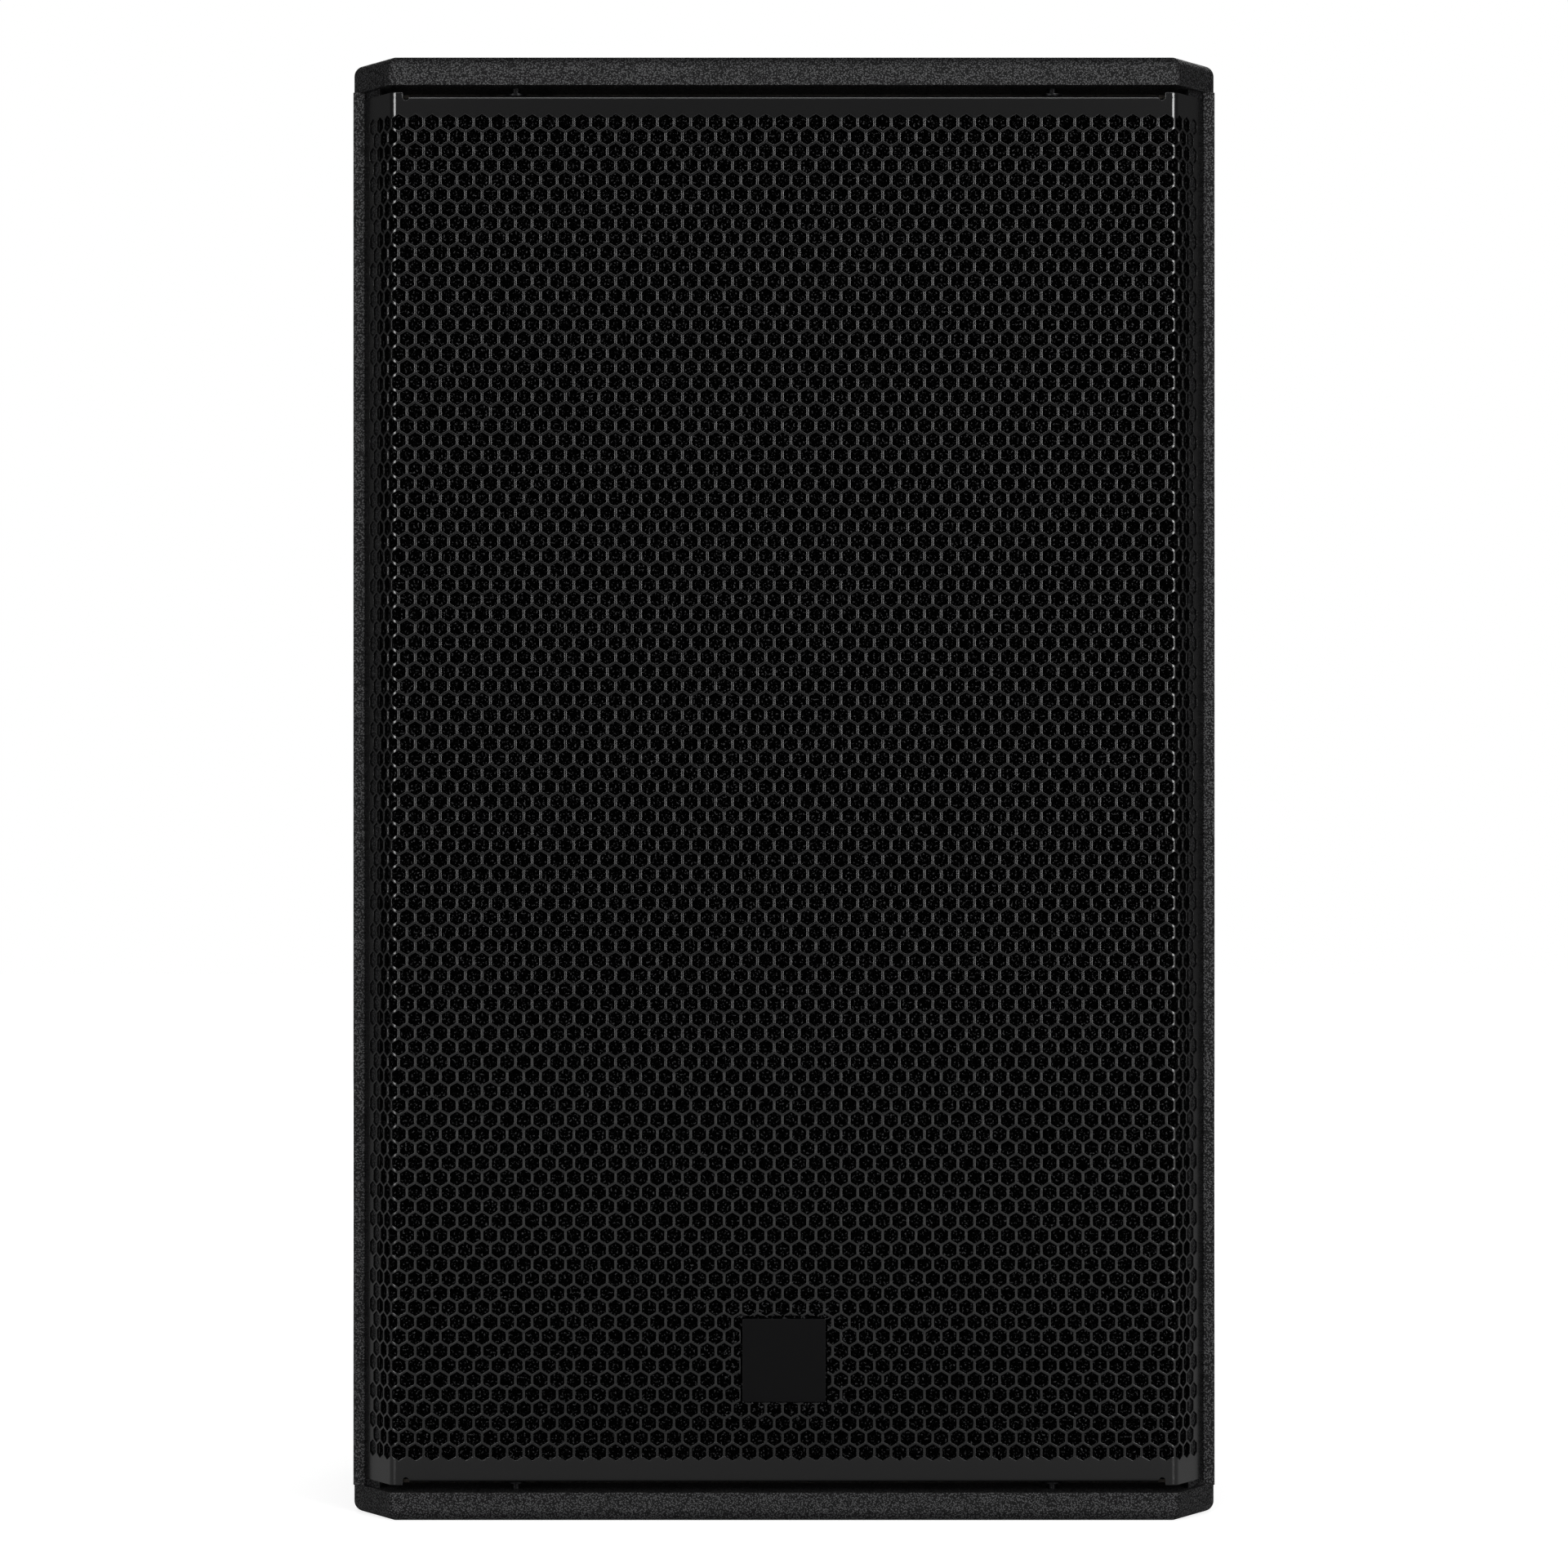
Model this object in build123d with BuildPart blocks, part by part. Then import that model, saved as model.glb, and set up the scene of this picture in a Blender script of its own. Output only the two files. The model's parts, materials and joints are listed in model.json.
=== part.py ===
from build123d import *
import os
from math import atan2, cos, degrees, radians, sin, sqrt, tan

# A powered two-way loudspeaker in a plywood cabinet, in millimetres. The front faces -Y, up is +Z and the
# origin is the middle of the underside. Depths are measured back from the foremost plane of the cabinet.

# ---- cabinet
WIDTH = 365.0
HEIGHT = 614.0
DEPTH = 370.0
PLY = 12.0  # plywood of the walls and the shelf
BAFFLE = 15.0  # plywood of the front baffle
BEVEL_WIDTH = 17.1  # how far each front bevel comes in from the side
BEVEL_ANGLE = 60.0  # between a bevel and the front plane
TAPER_START = 215.0  # depth at which the sides turn in towards the rear
REAR_WIDTH = 245.0
ROUND_OVER = 4.5  # outer edges of the top and bottom panels
CORNER_SOFTEN = 2.0  # upright corners of the top and bottom panels
SHELF_CLEAR = 12.0  # shelf brace to the transformer behind it
SHELF_RIM = 36.0  # width of the frame left around the shelf's window

# ---- clearances
SEAT_GAP = 0.3  # soft pieces stand off their neighbours by this
RUNNING = 0.05  # radial clearance of a shaft, pin or button in its bearing
FREE_GAP = 0.3  # moving pieces stand off fixed ones by this on each side
CUT_CLEAR = 0.2  # cut-outs are this much larger than what goes through them
CONE_CLEAR = 2.8  # surround to the grille foam when the cone is furthest out
MARGIN = 10.0  # woofer to bottom panel, and horn to top panel
NEIGHBOUR_GAP = 8.0  # between the flanges of the woofer and the ports
HOLE_CLEAR = 0.05  # screw holes over screw shanks, in radius

# ---- grille
SHEET = 1.0
GRILLE_RECESS = 1.5  # sheet below the edges of the top and bottom panels
GRILLE_GAP = 3.0  # cut edge of the sheet to the top and bottom panels
RETURN_GAP = 4.1  # folded return to the top and bottom panels
RETURN_LENGTH = 18.0  # how far the return goes back
RETURN_BEND = 1.6  # outer radius of the return's fold
BEVEL_BEND = 3.1  # outer radius of the fold along each bevel
SIDE_LIP = 4.6  # square front edge of a side panel that shows beside the grille
EDGE_GAP = 0.3  # side edge of the sheet to the step it sits in
NOTCH_X = 158.6  # relief notches at the ends of the returns
NOTCH_WIDTH = 2.7
NOTCH_DEPTH = 3.3
FOAM = 6.0
BADGE = 35.0
BADGE_Z = 67.3
BADGE_GAP = 0.8  # around the badge in its window, on average
WINDOW_RISE = 0.5  # window's centre above the badge's
BADGE_PROUD = 0.3  # badge in front of the sheet
BADGE_RADIUS = 1.0
BRACKET_LAP = 8.0  # badge bracket behind the sheet, past the window
BRACKET = 1.2
GRILLE_SCREW_X = 113.0
GRILLE_SCREW_DEPTH = 13.5
GRILLE_SCREW_R = 2.0
GRILLE_SCREW_HEAD_R = 4.0
RIVET_R = 3.0
RIVET_HEAD_R = 4.6
RIVET_HEAD = 1.6
RIVET_LENGTH = 9.0

# ---- woofer
WOOFER_R = 153.0
BASKET_R = 140.0  # the part that goes through the baffle
BASKET_FLANGE = 6.0
BASKET_WALL = 4.0
BASKET_RIM_LENGTH = 12.0
BASKET_DEPTH = 70.0  # baffle face to the motor
BASKET_SPOKE = 16.0  # width of each spoke between the windows
BASKET_WINDOWS = 6
SURROUND = 1.2
SURROUND_ROLL = 8.0
SURROUND_INNER_R = 122.0
GASKET = 4.0
CONE_R = 124.0
CONE_THICK = 2.0
CONE_DEPTH = 40.0
CONE_CURVE_R = 300.0  # radius of the flare from neck to rim
CONE_TRAVEL = 6.0  # each way
DUST_CAP_R = 46.0
DUST_CAP_RISE = 14.0
CAP_THICK = 1.0
COIL_R = 31.8  # inside of the coil former
FORMER = 0.8
WINDING = 1.2
WINDING_LENGTH = 16.0
COIL_GAP = 0.7  # magnetic gap on each side of the coil
SPIDER_R = 82.0
SPIDER_SHELF = 20.0  # spider's seat in front of the motor
SPIDER = 0.8
SPIDER_WAVES = 3
SPIDER_WAVE = 3.0
PLATE_R = 70.0
PLATE = 8.0
PLATE_CHAMFER = 1.5
MAGNET_R = 78.0
MAGNET = 20.0
MAGNET_BORE_R = 38.0
VENT_R = 10.0
WOOFER_SCREWS = 8
WOOFER_SCREW_R = 2.5
WOOFER_SCREW_HEAD_R = 4.5
WOOFER_SCREW_HEAD = 3.5
WOOFER_SCREW_LENGTH = 24.0
WOOFER_SCREW_SHIFT = 1.0  # screw circle outside the middle of the flange

# ---- ports
PORT_R = 35.0  # bore
PORT_WALL = 3.0
PORT_FLANGE_R = 45.0
PORT_FLANGE = 4.0
PORT_LENGTH = 125.0
PORT_FLARE = 6.0
PORT_MARGIN = 10.0  # port flange to the side wall

# ---- horn and compression driver
HORN_WIDTH = 236.0
HORN_SHARE = 0.2443  # of the cabinet's height, taken by the horn's flange
HORN_FLANGE = 6.0
HORN_CORNER = 12.0
HORN_WALL = 3.5
MOUTH_SIDE = 15.0  # flange beside the mouth
MOUTH_RIM = 17.0  # flange above and below the mouth
MOUTH_CORNER = 24.0
WAIST_NARROWING = 0.505  # the waist's width, as a share of the mouth's
WAIST_LOWERING = 0.569  # its height, as a share of the mouth's
WAIST_CORNER = 22.0
WAIST_SHARE = 0.42  # of the way from the mouth to the throat
THROAT_R = 12.7
THROAT_ROUND = 0.98  # corner radius of the throat's section, as a share of a full circle
HORN_LENGTH = 92.0
DRIVER_FLANGE_R = 48.0
DRIVER_FLANGE = 7.0
DRIVER_R = 44.0
DRIVER_LENGTH = 34.0
CAP_R = 37.0
CAP_LENGTH = 18.0
CAP_ROUND = 6.0
DRIVER_BOLTS = 3
DRIVER_BOLT_R = 3.0
DRIVER_BOLT_HEAD_R = 5.0
DRIVER_BOLT_HEAD = 4.0
DRIVER_BOLT_CIRCLE_R = 38.0
DRIVER_BOLT_GRIP = 14.0  # length of bolt inside the driver
HORN_SCREW_R = 2.0
HORN_SCREW_HEAD_R = 3.6
HORN_SCREW_HEAD = 2.4
HORN_SCREW_LENGTH = 16.0
HORN_SCREW_INSET = 8.0

# ---- amplifier
AMP_Z = 300.0
AMP_WIDTH = 200.0
AMP_HEIGHT = 336.0
AMP_FLANGE = 2.5
AMP_RIM = 11.0  # flange outside the pocket
AMP_SHEET = 2.0
AMP_CORNER = 8.0
POCKET = 21.0  # the controls sit this far below the rear face
AMP_SCREW_R = 2.0
AMP_SCREW_HEAD_R = 3.8
AMP_SCREW_LENGTH = 12.0
AMP_SCREW_ROWS = 4
COUNTERSINK = 45.0  # slope of a countersunk head
SINK_WIDTH = 150.0
SINK_HEIGHT = 126.0
SINK_BASE = 4.0
SINK_FIN = 13.0
SINK_FIN_THICK = 1.8
SINK_FINS = 17
SINK_RISE = 82.0  # above the middle of the amplifier
BOARD_WIDTH = 150.0
BOARD_HEIGHT = 104.0
BOARD = 1.6
BOARD_STANDOFF = 25.0
BOARD_RISE = -46.0
STANDOFF_R = 3.0
STANDOFF_INSET = 6.0
CAPACITOR_R = 12.0
CAPACITOR_LENGTH = 28.0
COIL_CORE_R = 13.0
COIL_CORE_LENGTH = 12.0
TOROID_R = 46.0
TOROID_BORE_R = 15.0
TOROID = 38.0
TOROID_RISE = 84.0
TOROID_ROUND = 9.0
CLAMP_R = 30.0
CLAMP = 2.0
CLAMP_BOLT_R = 4.0
CLAMP_HEAD_R = 7.0
CLAMP_HEAD = 5.0

# ---- controls, placed from the middle of the amplifier panel
KNOB_X = 50.0
KNOB_RISE = -12.0
KNOB_R = 12.0
KNOB_HEIGHT = 14.0
KNOB_FLUTES = 12
KNOB_FLUTE_R = 1.4
KNOB_STAND_OFF = 1.0
KNOB_LINE = 8.0  # length of the pointer line
SHAFT_R = 3.0
BUSH_R = 4.5
BUSH_OUT = 4.0
POT = 16.0
POT_DEPTH = 9.0
PRESET_X = 0.0
PRESET_RISE = -12.0
PRESET_R = 3.0
PRESET_OUT = 4.0
PRESET_ROUND = 0.6
PRESET_BODY = 9.0
PRESET_BODY_DEPTH = 8.0
PRESET_TRAVEL = 1.5
LED_X = -50.0
LED_RISE = -12.0
LED_PITCH = 10.0
LED_R = 1.5
LED_OUT = 1.0
LED_ROUND = 0.9
SOCKET_RISE = -62.0
INPUT_X = 50.0
OUTPUT_X = 8.0
SOCKET_WIDTH = 26.0
SOCKET_HEIGHT = 31.0
SOCKET_FLANGE = 2.5
SOCKET_R = 11.8
SOCKET_DEPTH = 20.0
SOCKET_RING_R = 10.4
SOCKET_RING = 1.2
JACK_R = 3.3
CONTACT_HOLE_R = 1.6
CONTACT_CIRCLE_R = 6.9
CUP_R = 9.6
CUP_DEPTH = 17.0
PIN_R = 1.25
PIN_CIRCLE_R = 4.2
PIN_LENGTH = 9.0
LATCH_WIDTH = 8.4
LATCH_HEIGHT = 3.2
LATCH_RISE = 12.9
LATCH_OUT = 2.2
LATCH_ROUND = 0.55
LATCH_DEPTH = 6.0
LATCH_TRAVEL = 1.5
LATCH_WALL = 1.2  # of the panel's cut-out around the latch housing
INLET_X = -46.0
INLET_WIDTH = 31.0
INLET_HEIGHT = 25.0
INLET_BEZEL = 2.0
INLET_BODY_WIDTH = 27.6
INLET_BODY_HEIGHT = 20.4
INLET_DEPTH = 20.0
INLET_CAVITY_WIDTH = 24.4
INLET_CAVITY_HEIGHT = 16.8
INLET_CAVITY_CUT = 4.0
INLET_CAVITY_DEPTH = 16.0
BLADE_WIDTH = 2.0
BLADE_HEIGHT = 4.0
BLADE_LENGTH = 9.0
BLADE_PITCH = 7.0
SWITCH_X = -46.0
SWITCH_RISE = -116.0
SWITCH_WIDTH = 21.0
SWITCH_HEIGHT = 30.0
SWITCH_BEZEL = 2.0
SWITCH_LAP = 1.4  # bezel past the switch's body
SWITCH_WALL = 2.6
SWITCH_DEPTH = 15.0
ROCKER_WIDTH = 13.0
ROCKER_TILT = 10.0  # each way from level
ROCKER_HALF = 9.8
ROCKER_CREST = 5.5
ROCKER_END = 7.5
ROCKER_TAIL = 4.0
ROCKER_TAIL_HALF = 5.5
ROCKER_PIVOT_IN = 3.0  # pivot below the panel's outer face
ROCKER_PIN_R = 1.5
ROCKER_PIN_OUT = 1.6

# ---- handles, pole socket and rigging
HANDLE_LENGTH = 158.0
HANDLE_HEIGHT = 98.0
HANDLE_FLANGE = 3.0
HANDLE_SINK = 0.2  # flange below the side panel's face
HANDLE_CORNER = 16.0
HANDLE_END_RIM = 14.0  # flange past the ends of the cup
HANDLE_EDGE_RIM = 12.0  # flange above and below the cup
HANDLE_CUP = 40.0
HANDLE_WALL = 2.0
GRIP_WIDTH = 20.0
GRIP_THICK = 14.0
GRIP_RISE = 9.0
GRIP_SINK = 2.0
GRIP_ROUND = 6.3
HANDLE_SCREW_R = 2.0
HANDLE_SCREW_HEAD_R = 4.0
HANDLE_SCREW_LENGTH = 11.0
HANDLE_SCREW_INSET = 9.0
POLE_R = 18.2  # for a 35 mm pole
POLE_WALL = 2.8
POLE_LENGTH = 84.0
POLE_END = 3.0
POLE_FLANGE_R = 52.5
POLE_FLANGE = 3.0
POLE_SINK = 0.5
POLE_SCREWS = 4
POLE_SCREW_R = 2.5
POLE_SCREW_HEAD_R = 4.8
POLE_SCREW_CIRCLE_R = 42.0
POLE_SCREW_LENGTH = 14.0
THREAD_R = 5.0  # M10
INSERT_R = 8.0
INSERT_LENGTH = 24.0
INSERT_FLANGE_R = 15.0
INSERT_FLANGE = 2.5
RIGGING_X = 100.0
TOP_RIGGING_DEPTH = 150.0
BOTTOM_RIGGING_DEPTH = 270.0
REAR_RIGGING_DROP = 64.0  # below the top of the cabinet
WADDING = 20.0
WADDING_INSET = 12.0

# ---- worked out from the sizes above
FRONT = -DEPTH / 2
BACK = DEPTH / 2
SIDE = WIDTH / 2
BEVEL = radians(BEVEL_ANGLE)
BEVEL_DEPTH = BEVEL_WIDTH * tan(BEVEL)
TAPER = atan2(SIDE - REAR_WIDTH / 2, DEPTH - TAPER_START)
INSIDE = SIDE - PLY
TAPER_INSIDE = TAPER_START - PLY * tan(TAPER / 2)
REBATE = GRILLE_RECESS + SHEET
LIP_END = (SIDE_LIP - GRILLE_RECESS * sin(BEVEL)) / cos(BEVEL)
FOAM_BACK = REBATE + SEAT_GAP + FOAM
BAFFLE_DEPTH = FOAM_BACK + CONE_CLEAR + CONE_TRAVEL + SURROUND_ROLL + SURROUND + BASKET_FLANGE
BAFFLE_BACK = BAFFLE_DEPTH + BAFFLE
PANEL_Y = BACK - POCKET
WOOFER_Z = PLY + MARGIN + WOOFER_R
PORT_REACH = WOOFER_R + NEIGHBOUR_GAP + PORT_FLANGE_R
PORT_X = INSIDE - PORT_MARGIN - PORT_FLANGE_R
PORT_Z = WOOFER_Z + sqrt(PORT_REACH**2 - PORT_X**2)
PORT_OUTER_R = PORT_R + PORT_WALL
HORN_HEIGHT = HEIGHT * HORN_SHARE
HORN_Z = HEIGHT - PLY - MARGIN - HORN_HEIGHT / 2
MOUTH_WIDTH = HORN_WIDTH - 2 * MOUTH_SIDE
MOUTH_HEIGHT = HORN_HEIGHT - 2 * MOUTH_RIM
WAIST_WIDTH = MOUTH_WIDTH * WAIST_NARROWING
WAIST_HEIGHT = MOUTH_HEIGHT * WAIST_LOWERING
SHELF_Z = PORT_Z + PORT_OUTER_R + SEAT_GAP
SHELF_END = DEPTH - POCKET - AMP_SHEET - TOROID - CLAMP - CLAMP_HEAD - SHELF_CLEAR
HANDLE_CUP_LENGTH = HANDLE_LENGTH - 2 * HANDLE_END_RIM
HANDLE_CUP_HEIGHT = HANDLE_HEIGHT - 2 * HANDLE_EDGE_RIM
HANDLE_Z = SHELF_Z + PLY + HANDLE_CUP_HEIGHT / 2 + HANDLE_WALL + NEIGHBOUR_GAP / 2
HANDLE_Y = FRONT + BAFFLE_BACK + NEIGHBOUR_GAP + HANDLE_WALL + HANDLE_CUP_LENGTH / 2
MOTOR_DEPTH = BAFFLE_DEPTH + BASKET_DEPTH
MAGNET_DEPTH = MOTOR_DEPTH + PLATE
BACK_PLATE_DEPTH = MAGNET_DEPTH + MAGNET
FLANGE_FACE = BAFFLE_DEPTH - BASKET_FLANGE
SURROUND_FACE = FLANGE_FACE - SURROUND
GASKET_FACE = SURROUND_FACE - GASKET
POLE_PIECE_R = COIL_R - COIL_GAP
PLATE_BORE_R = COIL_R + FORMER + WINDING + COIL_GAP
WOOFER_SCREW_CIRCLE_R = (WOOFER_R + BASKET_R) / 2 + WOOFER_SCREW_SHIFT
SURROUND_OUTER_R = WOOFER_SCREW_CIRCLE_R - WOOFER_SCREW_R - CUT_CLEAR
NECK_R = COIL_R + FORMER
NECK_DEPTH = FLANGE_FACE + CONE_DEPTH
LATCH_SOCKET_WALL = LATCH_WALL - CUT_CLEAR
SWITCH_BODY_WIDTH = SWITCH_WIDTH - 2 * SWITCH_LAP
SWITCH_BODY_HEIGHT = SWITCH_HEIGHT - 2 * SWITCH_LAP
HANDLE_SINK_TAPER = degrees(atan2(HANDLE_SCREW_HEAD_R - HANDLE_SCREW_R, HANDLE_FLANGE))
POLE_SCREW_TAPER = degrees(atan2(POLE_SCREW_HEAD_R - POLE_SCREW_R, POLE_FLANGE))

os.makedirs("parts", exist_ok=True)


def facing_front(depth, x=0.0, z=0.0):
    """A plane seen from the front, with its own x to the viewer's right and y upwards."""
    return Plane(origin=(x, FRONT + depth, z), x_dir=(1, 0, 0), z_dir=(0, -1, 0))


def facing_rear(y, x=0.0, z=0.0):
    """A plane seen from the rear; raising a profile from it goes out of the back."""
    return Plane(origin=(x, y, z), x_dir=(-1, 0, 0), z_dir=(0, 1, 0))


def on_panel(x, rise, out=0.0):
    """A plane on the outer face of the amplifier panel, at a control's place."""
    return facing_rear(PANEL_Y + out, x, AMP_Z + rise)


def facing_side(side, y, z, sink=0.0):
    """A plane on the left (-1) or right (1) side of the cabinet."""
    return Plane(origin=(side * (SIDE - sink), y, z), x_dir=(0, side, 0), z_dir=(side, 0, 0))


def radius_and_depth(z, x=0.0):
    """A plane for a turned profile: its x is a radius and its y a depth behind the front plane."""
    return Plane(origin=(x, FRONT, z), x_dir=(1, 0, 0), z_dir=(0, 0, 1))


def turning_axis(z, x=0.0):
    """The front-to-back axis that such a profile is turned about."""
    return Axis((x, 0, z), (0, 1, 0))


def bevel_point(distance, inset):
    """A plan point at a distance along the right bevel from its rear corner, and an inset below it."""
    x = SIDE - distance * cos(BEVEL) - inset * sin(BEVEL)
    y = FRONT + BEVEL_DEPTH - distance * sin(BEVEL) + inset * cos(BEVEL)
    return (x, y)


def fold_point(inset):
    """The plan point where the front plane and the right bevel meet, both moved in by an inset."""
    return (SIDE - BEVEL_WIDTH - inset * tan(BEVEL / 2), FRONT + inset)


def flip(points, side):
    """Plan points for the left (-1) or right (1) side."""
    return [(side * x, y) for x, y in points]


def both_sides(points):
    """Right-hand plan points followed by their mirror images, as one loop."""
    return points + flip(points, -1)[::-1]


def inner_wall_x(depth):
    """Half the clear width inside the cabinet at a depth."""
    return INSIDE - max(0.0, depth - TAPER_INSIDE) * tan(TAPER)


def screw(radius, head_radius, head, length, countersunk=False):
    """A screw that points along -Z, with its head's seat at z = 0, or its flat top there if countersunk."""
    with BuildPart() as made:
        with BuildSketch(Plane.XZ):
            with BuildLine():
                if countersunk:
                    slope = head_radius - radius
                    Polyline(
                        (0, 0), (head_radius, 0), (radius, -slope), (radius, -length), (0, -length), close=True
                    )
                else:
                    Polyline(
                        (0, head),
                        (head_radius, head),
                        (head_radius, 0),
                        (radius, 0),
                        (radius, -length),
                        (0, -length),
                        close=True,
                    )
            make_face()
        revolve(axis=Axis.Z)
    return made.part


def finish(piece, name):
    """Name a finished piece and write it."""
    piece.part.label = name
    export_step(piece.part, f"parts/{name}.step")


# ---------------------------------------------------------------- cabinet panels

OUTLINE = both_sides([fold_point(0), bevel_point(0, 0), (SIDE, FRONT + TAPER_START), (REAR_WIDTH / 2, BACK)])
GRILLE_SCREW_PLACES = [(side * GRILLE_SCREW_X, FRONT + GRILLE_SCREW_DEPTH) for side in (-1, 1)]
TOP_RIGGING = [(side * RIGGING_X, FRONT + TOP_RIGGING_DEPTH) for side in (-1, 1)]
BOTTOM_RIGGING = [(side * RIGGING_X, FRONT + BOTTOM_RIGGING_DEPTH) for side in (-1, 1)]
REAR_RIGGING_Z = HEIGHT - REAR_RIGGING_DROP

with BuildPart() as top_panel:
    with BuildSketch(Plane.XY.offset(HEIGHT - PLY)):
        with BuildLine():
            Polyline(*OUTLINE, close=True)
        make_face()
    extrude(amount=PLY)
    fillet(top_panel.edges().filter_by(Axis.Z), radius=CORNER_SOFTEN)
    fillet(top_panel.edges().group_by(Axis.Z)[-1], radius=ROUND_OVER)
    with BuildSketch(Plane.XY.offset(HEIGHT)):
        with Locations(*TOP_RIGGING):
            Circle(INSERT_R)
    extrude(amount=-PLY, mode=Mode.SUBTRACT)
    with Locations(*[(x, y, HEIGHT) for x, y in GRILLE_SCREW_PLACES]):
        CounterSinkHole(GRILLE_SCREW_R + HOLE_CLEAR, GRILLE_SCREW_HEAD_R + HOLE_CLEAR, depth=PLY)
finish(top_panel, "top_panel")

with BuildPart() as bottom_panel:
    with BuildSketch():
        with BuildLine():
            Polyline(*OUTLINE, close=True)
        make_face()
    extrude(amount=PLY)
    fillet(bottom_panel.edges().filter_by(Axis.Z), radius=CORNER_SOFTEN)
    fillet(bottom_panel.edges().group_by(Axis.Z)[0], radius=ROUND_OVER)
    with BuildSketch():
        Circle(POLE_R + POLE_WALL + CUT_CLEAR)
        with Locations(*BOTTOM_RIGGING):
            Circle(INSERT_R)
        with PolarLocations(POLE_SCREW_CIRCLE_R, POLE_SCREWS, start_angle=45):
            Circle(POLE_SCREW_R + HOLE_CLEAR)
    extrude(amount=PLY, mode=Mode.SUBTRACT)
    with BuildSketch():
        Circle(POLE_FLANGE_R + CUT_CLEAR)
    extrude(amount=POLE_SINK + POLE_FLANGE, mode=Mode.SUBTRACT)
    with BuildSketch(Plane.XZ):
        with BuildLine():
            Polyline(
                (0, 0),
                (GRILLE_SCREW_HEAD_R + HOLE_CLEAR, 0),
                (GRILLE_SCREW_R + HOLE_CLEAR, GRILLE_SCREW_HEAD_R - GRILLE_SCREW_R),
                (GRILLE_SCREW_R + HOLE_CLEAR, PLY),
                (0, PLY),
                close=True,
            )
        make_face()
    sink_hole = revolve(axis=Axis.Z, mode=Mode.PRIVATE)
    with Locations(*[(x, y, 0) for x, y in GRILLE_SCREW_PLACES]):
        add(sink_hole, mode=Mode.SUBTRACT)
finish(bottom_panel, "bottom_panel")

SIDE_PROFILE = [
    (SIDE, bevel_point(LIP_END, GRILLE_RECESS)[1]),
    bevel_point(LIP_END, GRILLE_RECESS),
    bevel_point(LIP_END, REBATE),
    bevel_point((PLY - REBATE * sin(BEVEL)) / cos(BEVEL), REBATE),
    (INSIDE, FRONT + TAPER_INSIDE),
    (SIDE, FRONT + TAPER_START),
]
REAR_SIDE_PROFILE = [
    (SIDE, FRONT + TAPER_START),
    (INSIDE, FRONT + TAPER_INSIDE),
    (REAR_WIDTH / 2 - PLY / cos(TAPER), BACK),
    (REAR_WIDTH / 2, BACK),
]
HANDLE_SCREW_PLACES = [
    (u * (HANDLE_LENGTH / 2 - HANDLE_SCREW_INSET), v * (HANDLE_HEIGHT / 2 - HANDLE_SCREW_INSET))
    for u in (-1, 1)
    for v in (-1, 1)
]

for side, hand in ((-1, "left"), (1, "right")):
    with BuildPart() as side_panel:
        with BuildSketch(Plane.XY.offset(PLY)):
            with BuildLine():
                Polyline(*flip(SIDE_PROFILE, side), close=True)
            make_face()
        extrude(amount=HEIGHT - 2 * PLY)
        with BuildSketch(facing_side(side, HANDLE_Y, HANDLE_Z)):
            RectangleRounded(HANDLE_LENGTH + 2 * CUT_CLEAR, HANDLE_HEIGHT + 2 * CUT_CLEAR, HANDLE_CORNER)
        extrude(amount=-(HANDLE_FLANGE + HANDLE_SINK), mode=Mode.SUBTRACT)
        with BuildSketch(facing_side(side, HANDLE_Y, HANDLE_Z)):
            cup_wall = HANDLE_WALL + CUT_CLEAR
            RectangleRounded(
                HANDLE_CUP_LENGTH + 2 * cup_wall, HANDLE_CUP_HEIGHT + 2 * cup_wall, HANDLE_CORNER + cup_wall
            )
            with Locations(*HANDLE_SCREW_PLACES):
                Circle(HANDLE_SCREW_R + HOLE_CLEAR)
        extrude(amount=-PLY, mode=Mode.SUBTRACT)
    finish(side_panel, f"{hand}_side_panel")

    with BuildPart() as rear_side_panel:
        with BuildSketch(Plane.XY.offset(PLY)):
            with BuildLine():
                Polyline(*flip(REAR_SIDE_PROFILE, side), close=True)
            make_face()
        extrude(amount=HEIGHT - 2 * PLY)
    finish(rear_side_panel, f"{hand}_rear_panel")

AMP_SCREW_SPAN = AMP_WIDTH - AMP_RIM
AMP_SCREW_PITCH = (AMP_HEIGHT - 2 * AMP_RIM) / (AMP_SCREW_ROWS - 1)
POCKET_WIDTH = AMP_WIDTH - 2 * AMP_RIM
POCKET_HEIGHT = AMP_HEIGHT - 2 * AMP_RIM
REAR_HALF = REAR_WIDTH / 2 - PLY / cos(TAPER)

with BuildPart() as rear_panel:
    with BuildSketch(Plane.XY.offset(PLY)):
        with BuildLine():
            Polyline(*both_sides([(REAR_HALF + PLY * tan(TAPER), BACK - PLY), (REAR_HALF, BACK)]), close=True)
        make_face()
    extrude(amount=HEIGHT - 2 * PLY)
    with BuildSketch(facing_rear(BACK, 0, AMP_Z)):
        RectangleRounded(AMP_WIDTH + 2 * CUT_CLEAR, AMP_HEIGHT + 2 * CUT_CLEAR, AMP_CORNER)
    extrude(amount=-AMP_FLANGE, mode=Mode.SUBTRACT)
    with BuildSketch(facing_rear(BACK, 0, AMP_Z)):
        tray_wall = AMP_SHEET + CUT_CLEAR
        RectangleRounded(POCKET_WIDTH + 2 * tray_wall, POCKET_HEIGHT + 2 * tray_wall, AMP_CORNER + tray_wall)
        with GridLocations(AMP_SCREW_SPAN, AMP_SCREW_PITCH, 2, AMP_SCREW_ROWS):
            Circle(AMP_SCREW_R + HOLE_CLEAR)
    extrude(amount=-PLY, mode=Mode.SUBTRACT)
    with BuildSketch(facing_rear(BACK, 0, REAR_RIGGING_Z)):
        Circle(INSERT_R)
    extrude(amount=-PLY, mode=Mode.SUBTRACT)
finish(rear_panel, "rear_panel")

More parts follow.
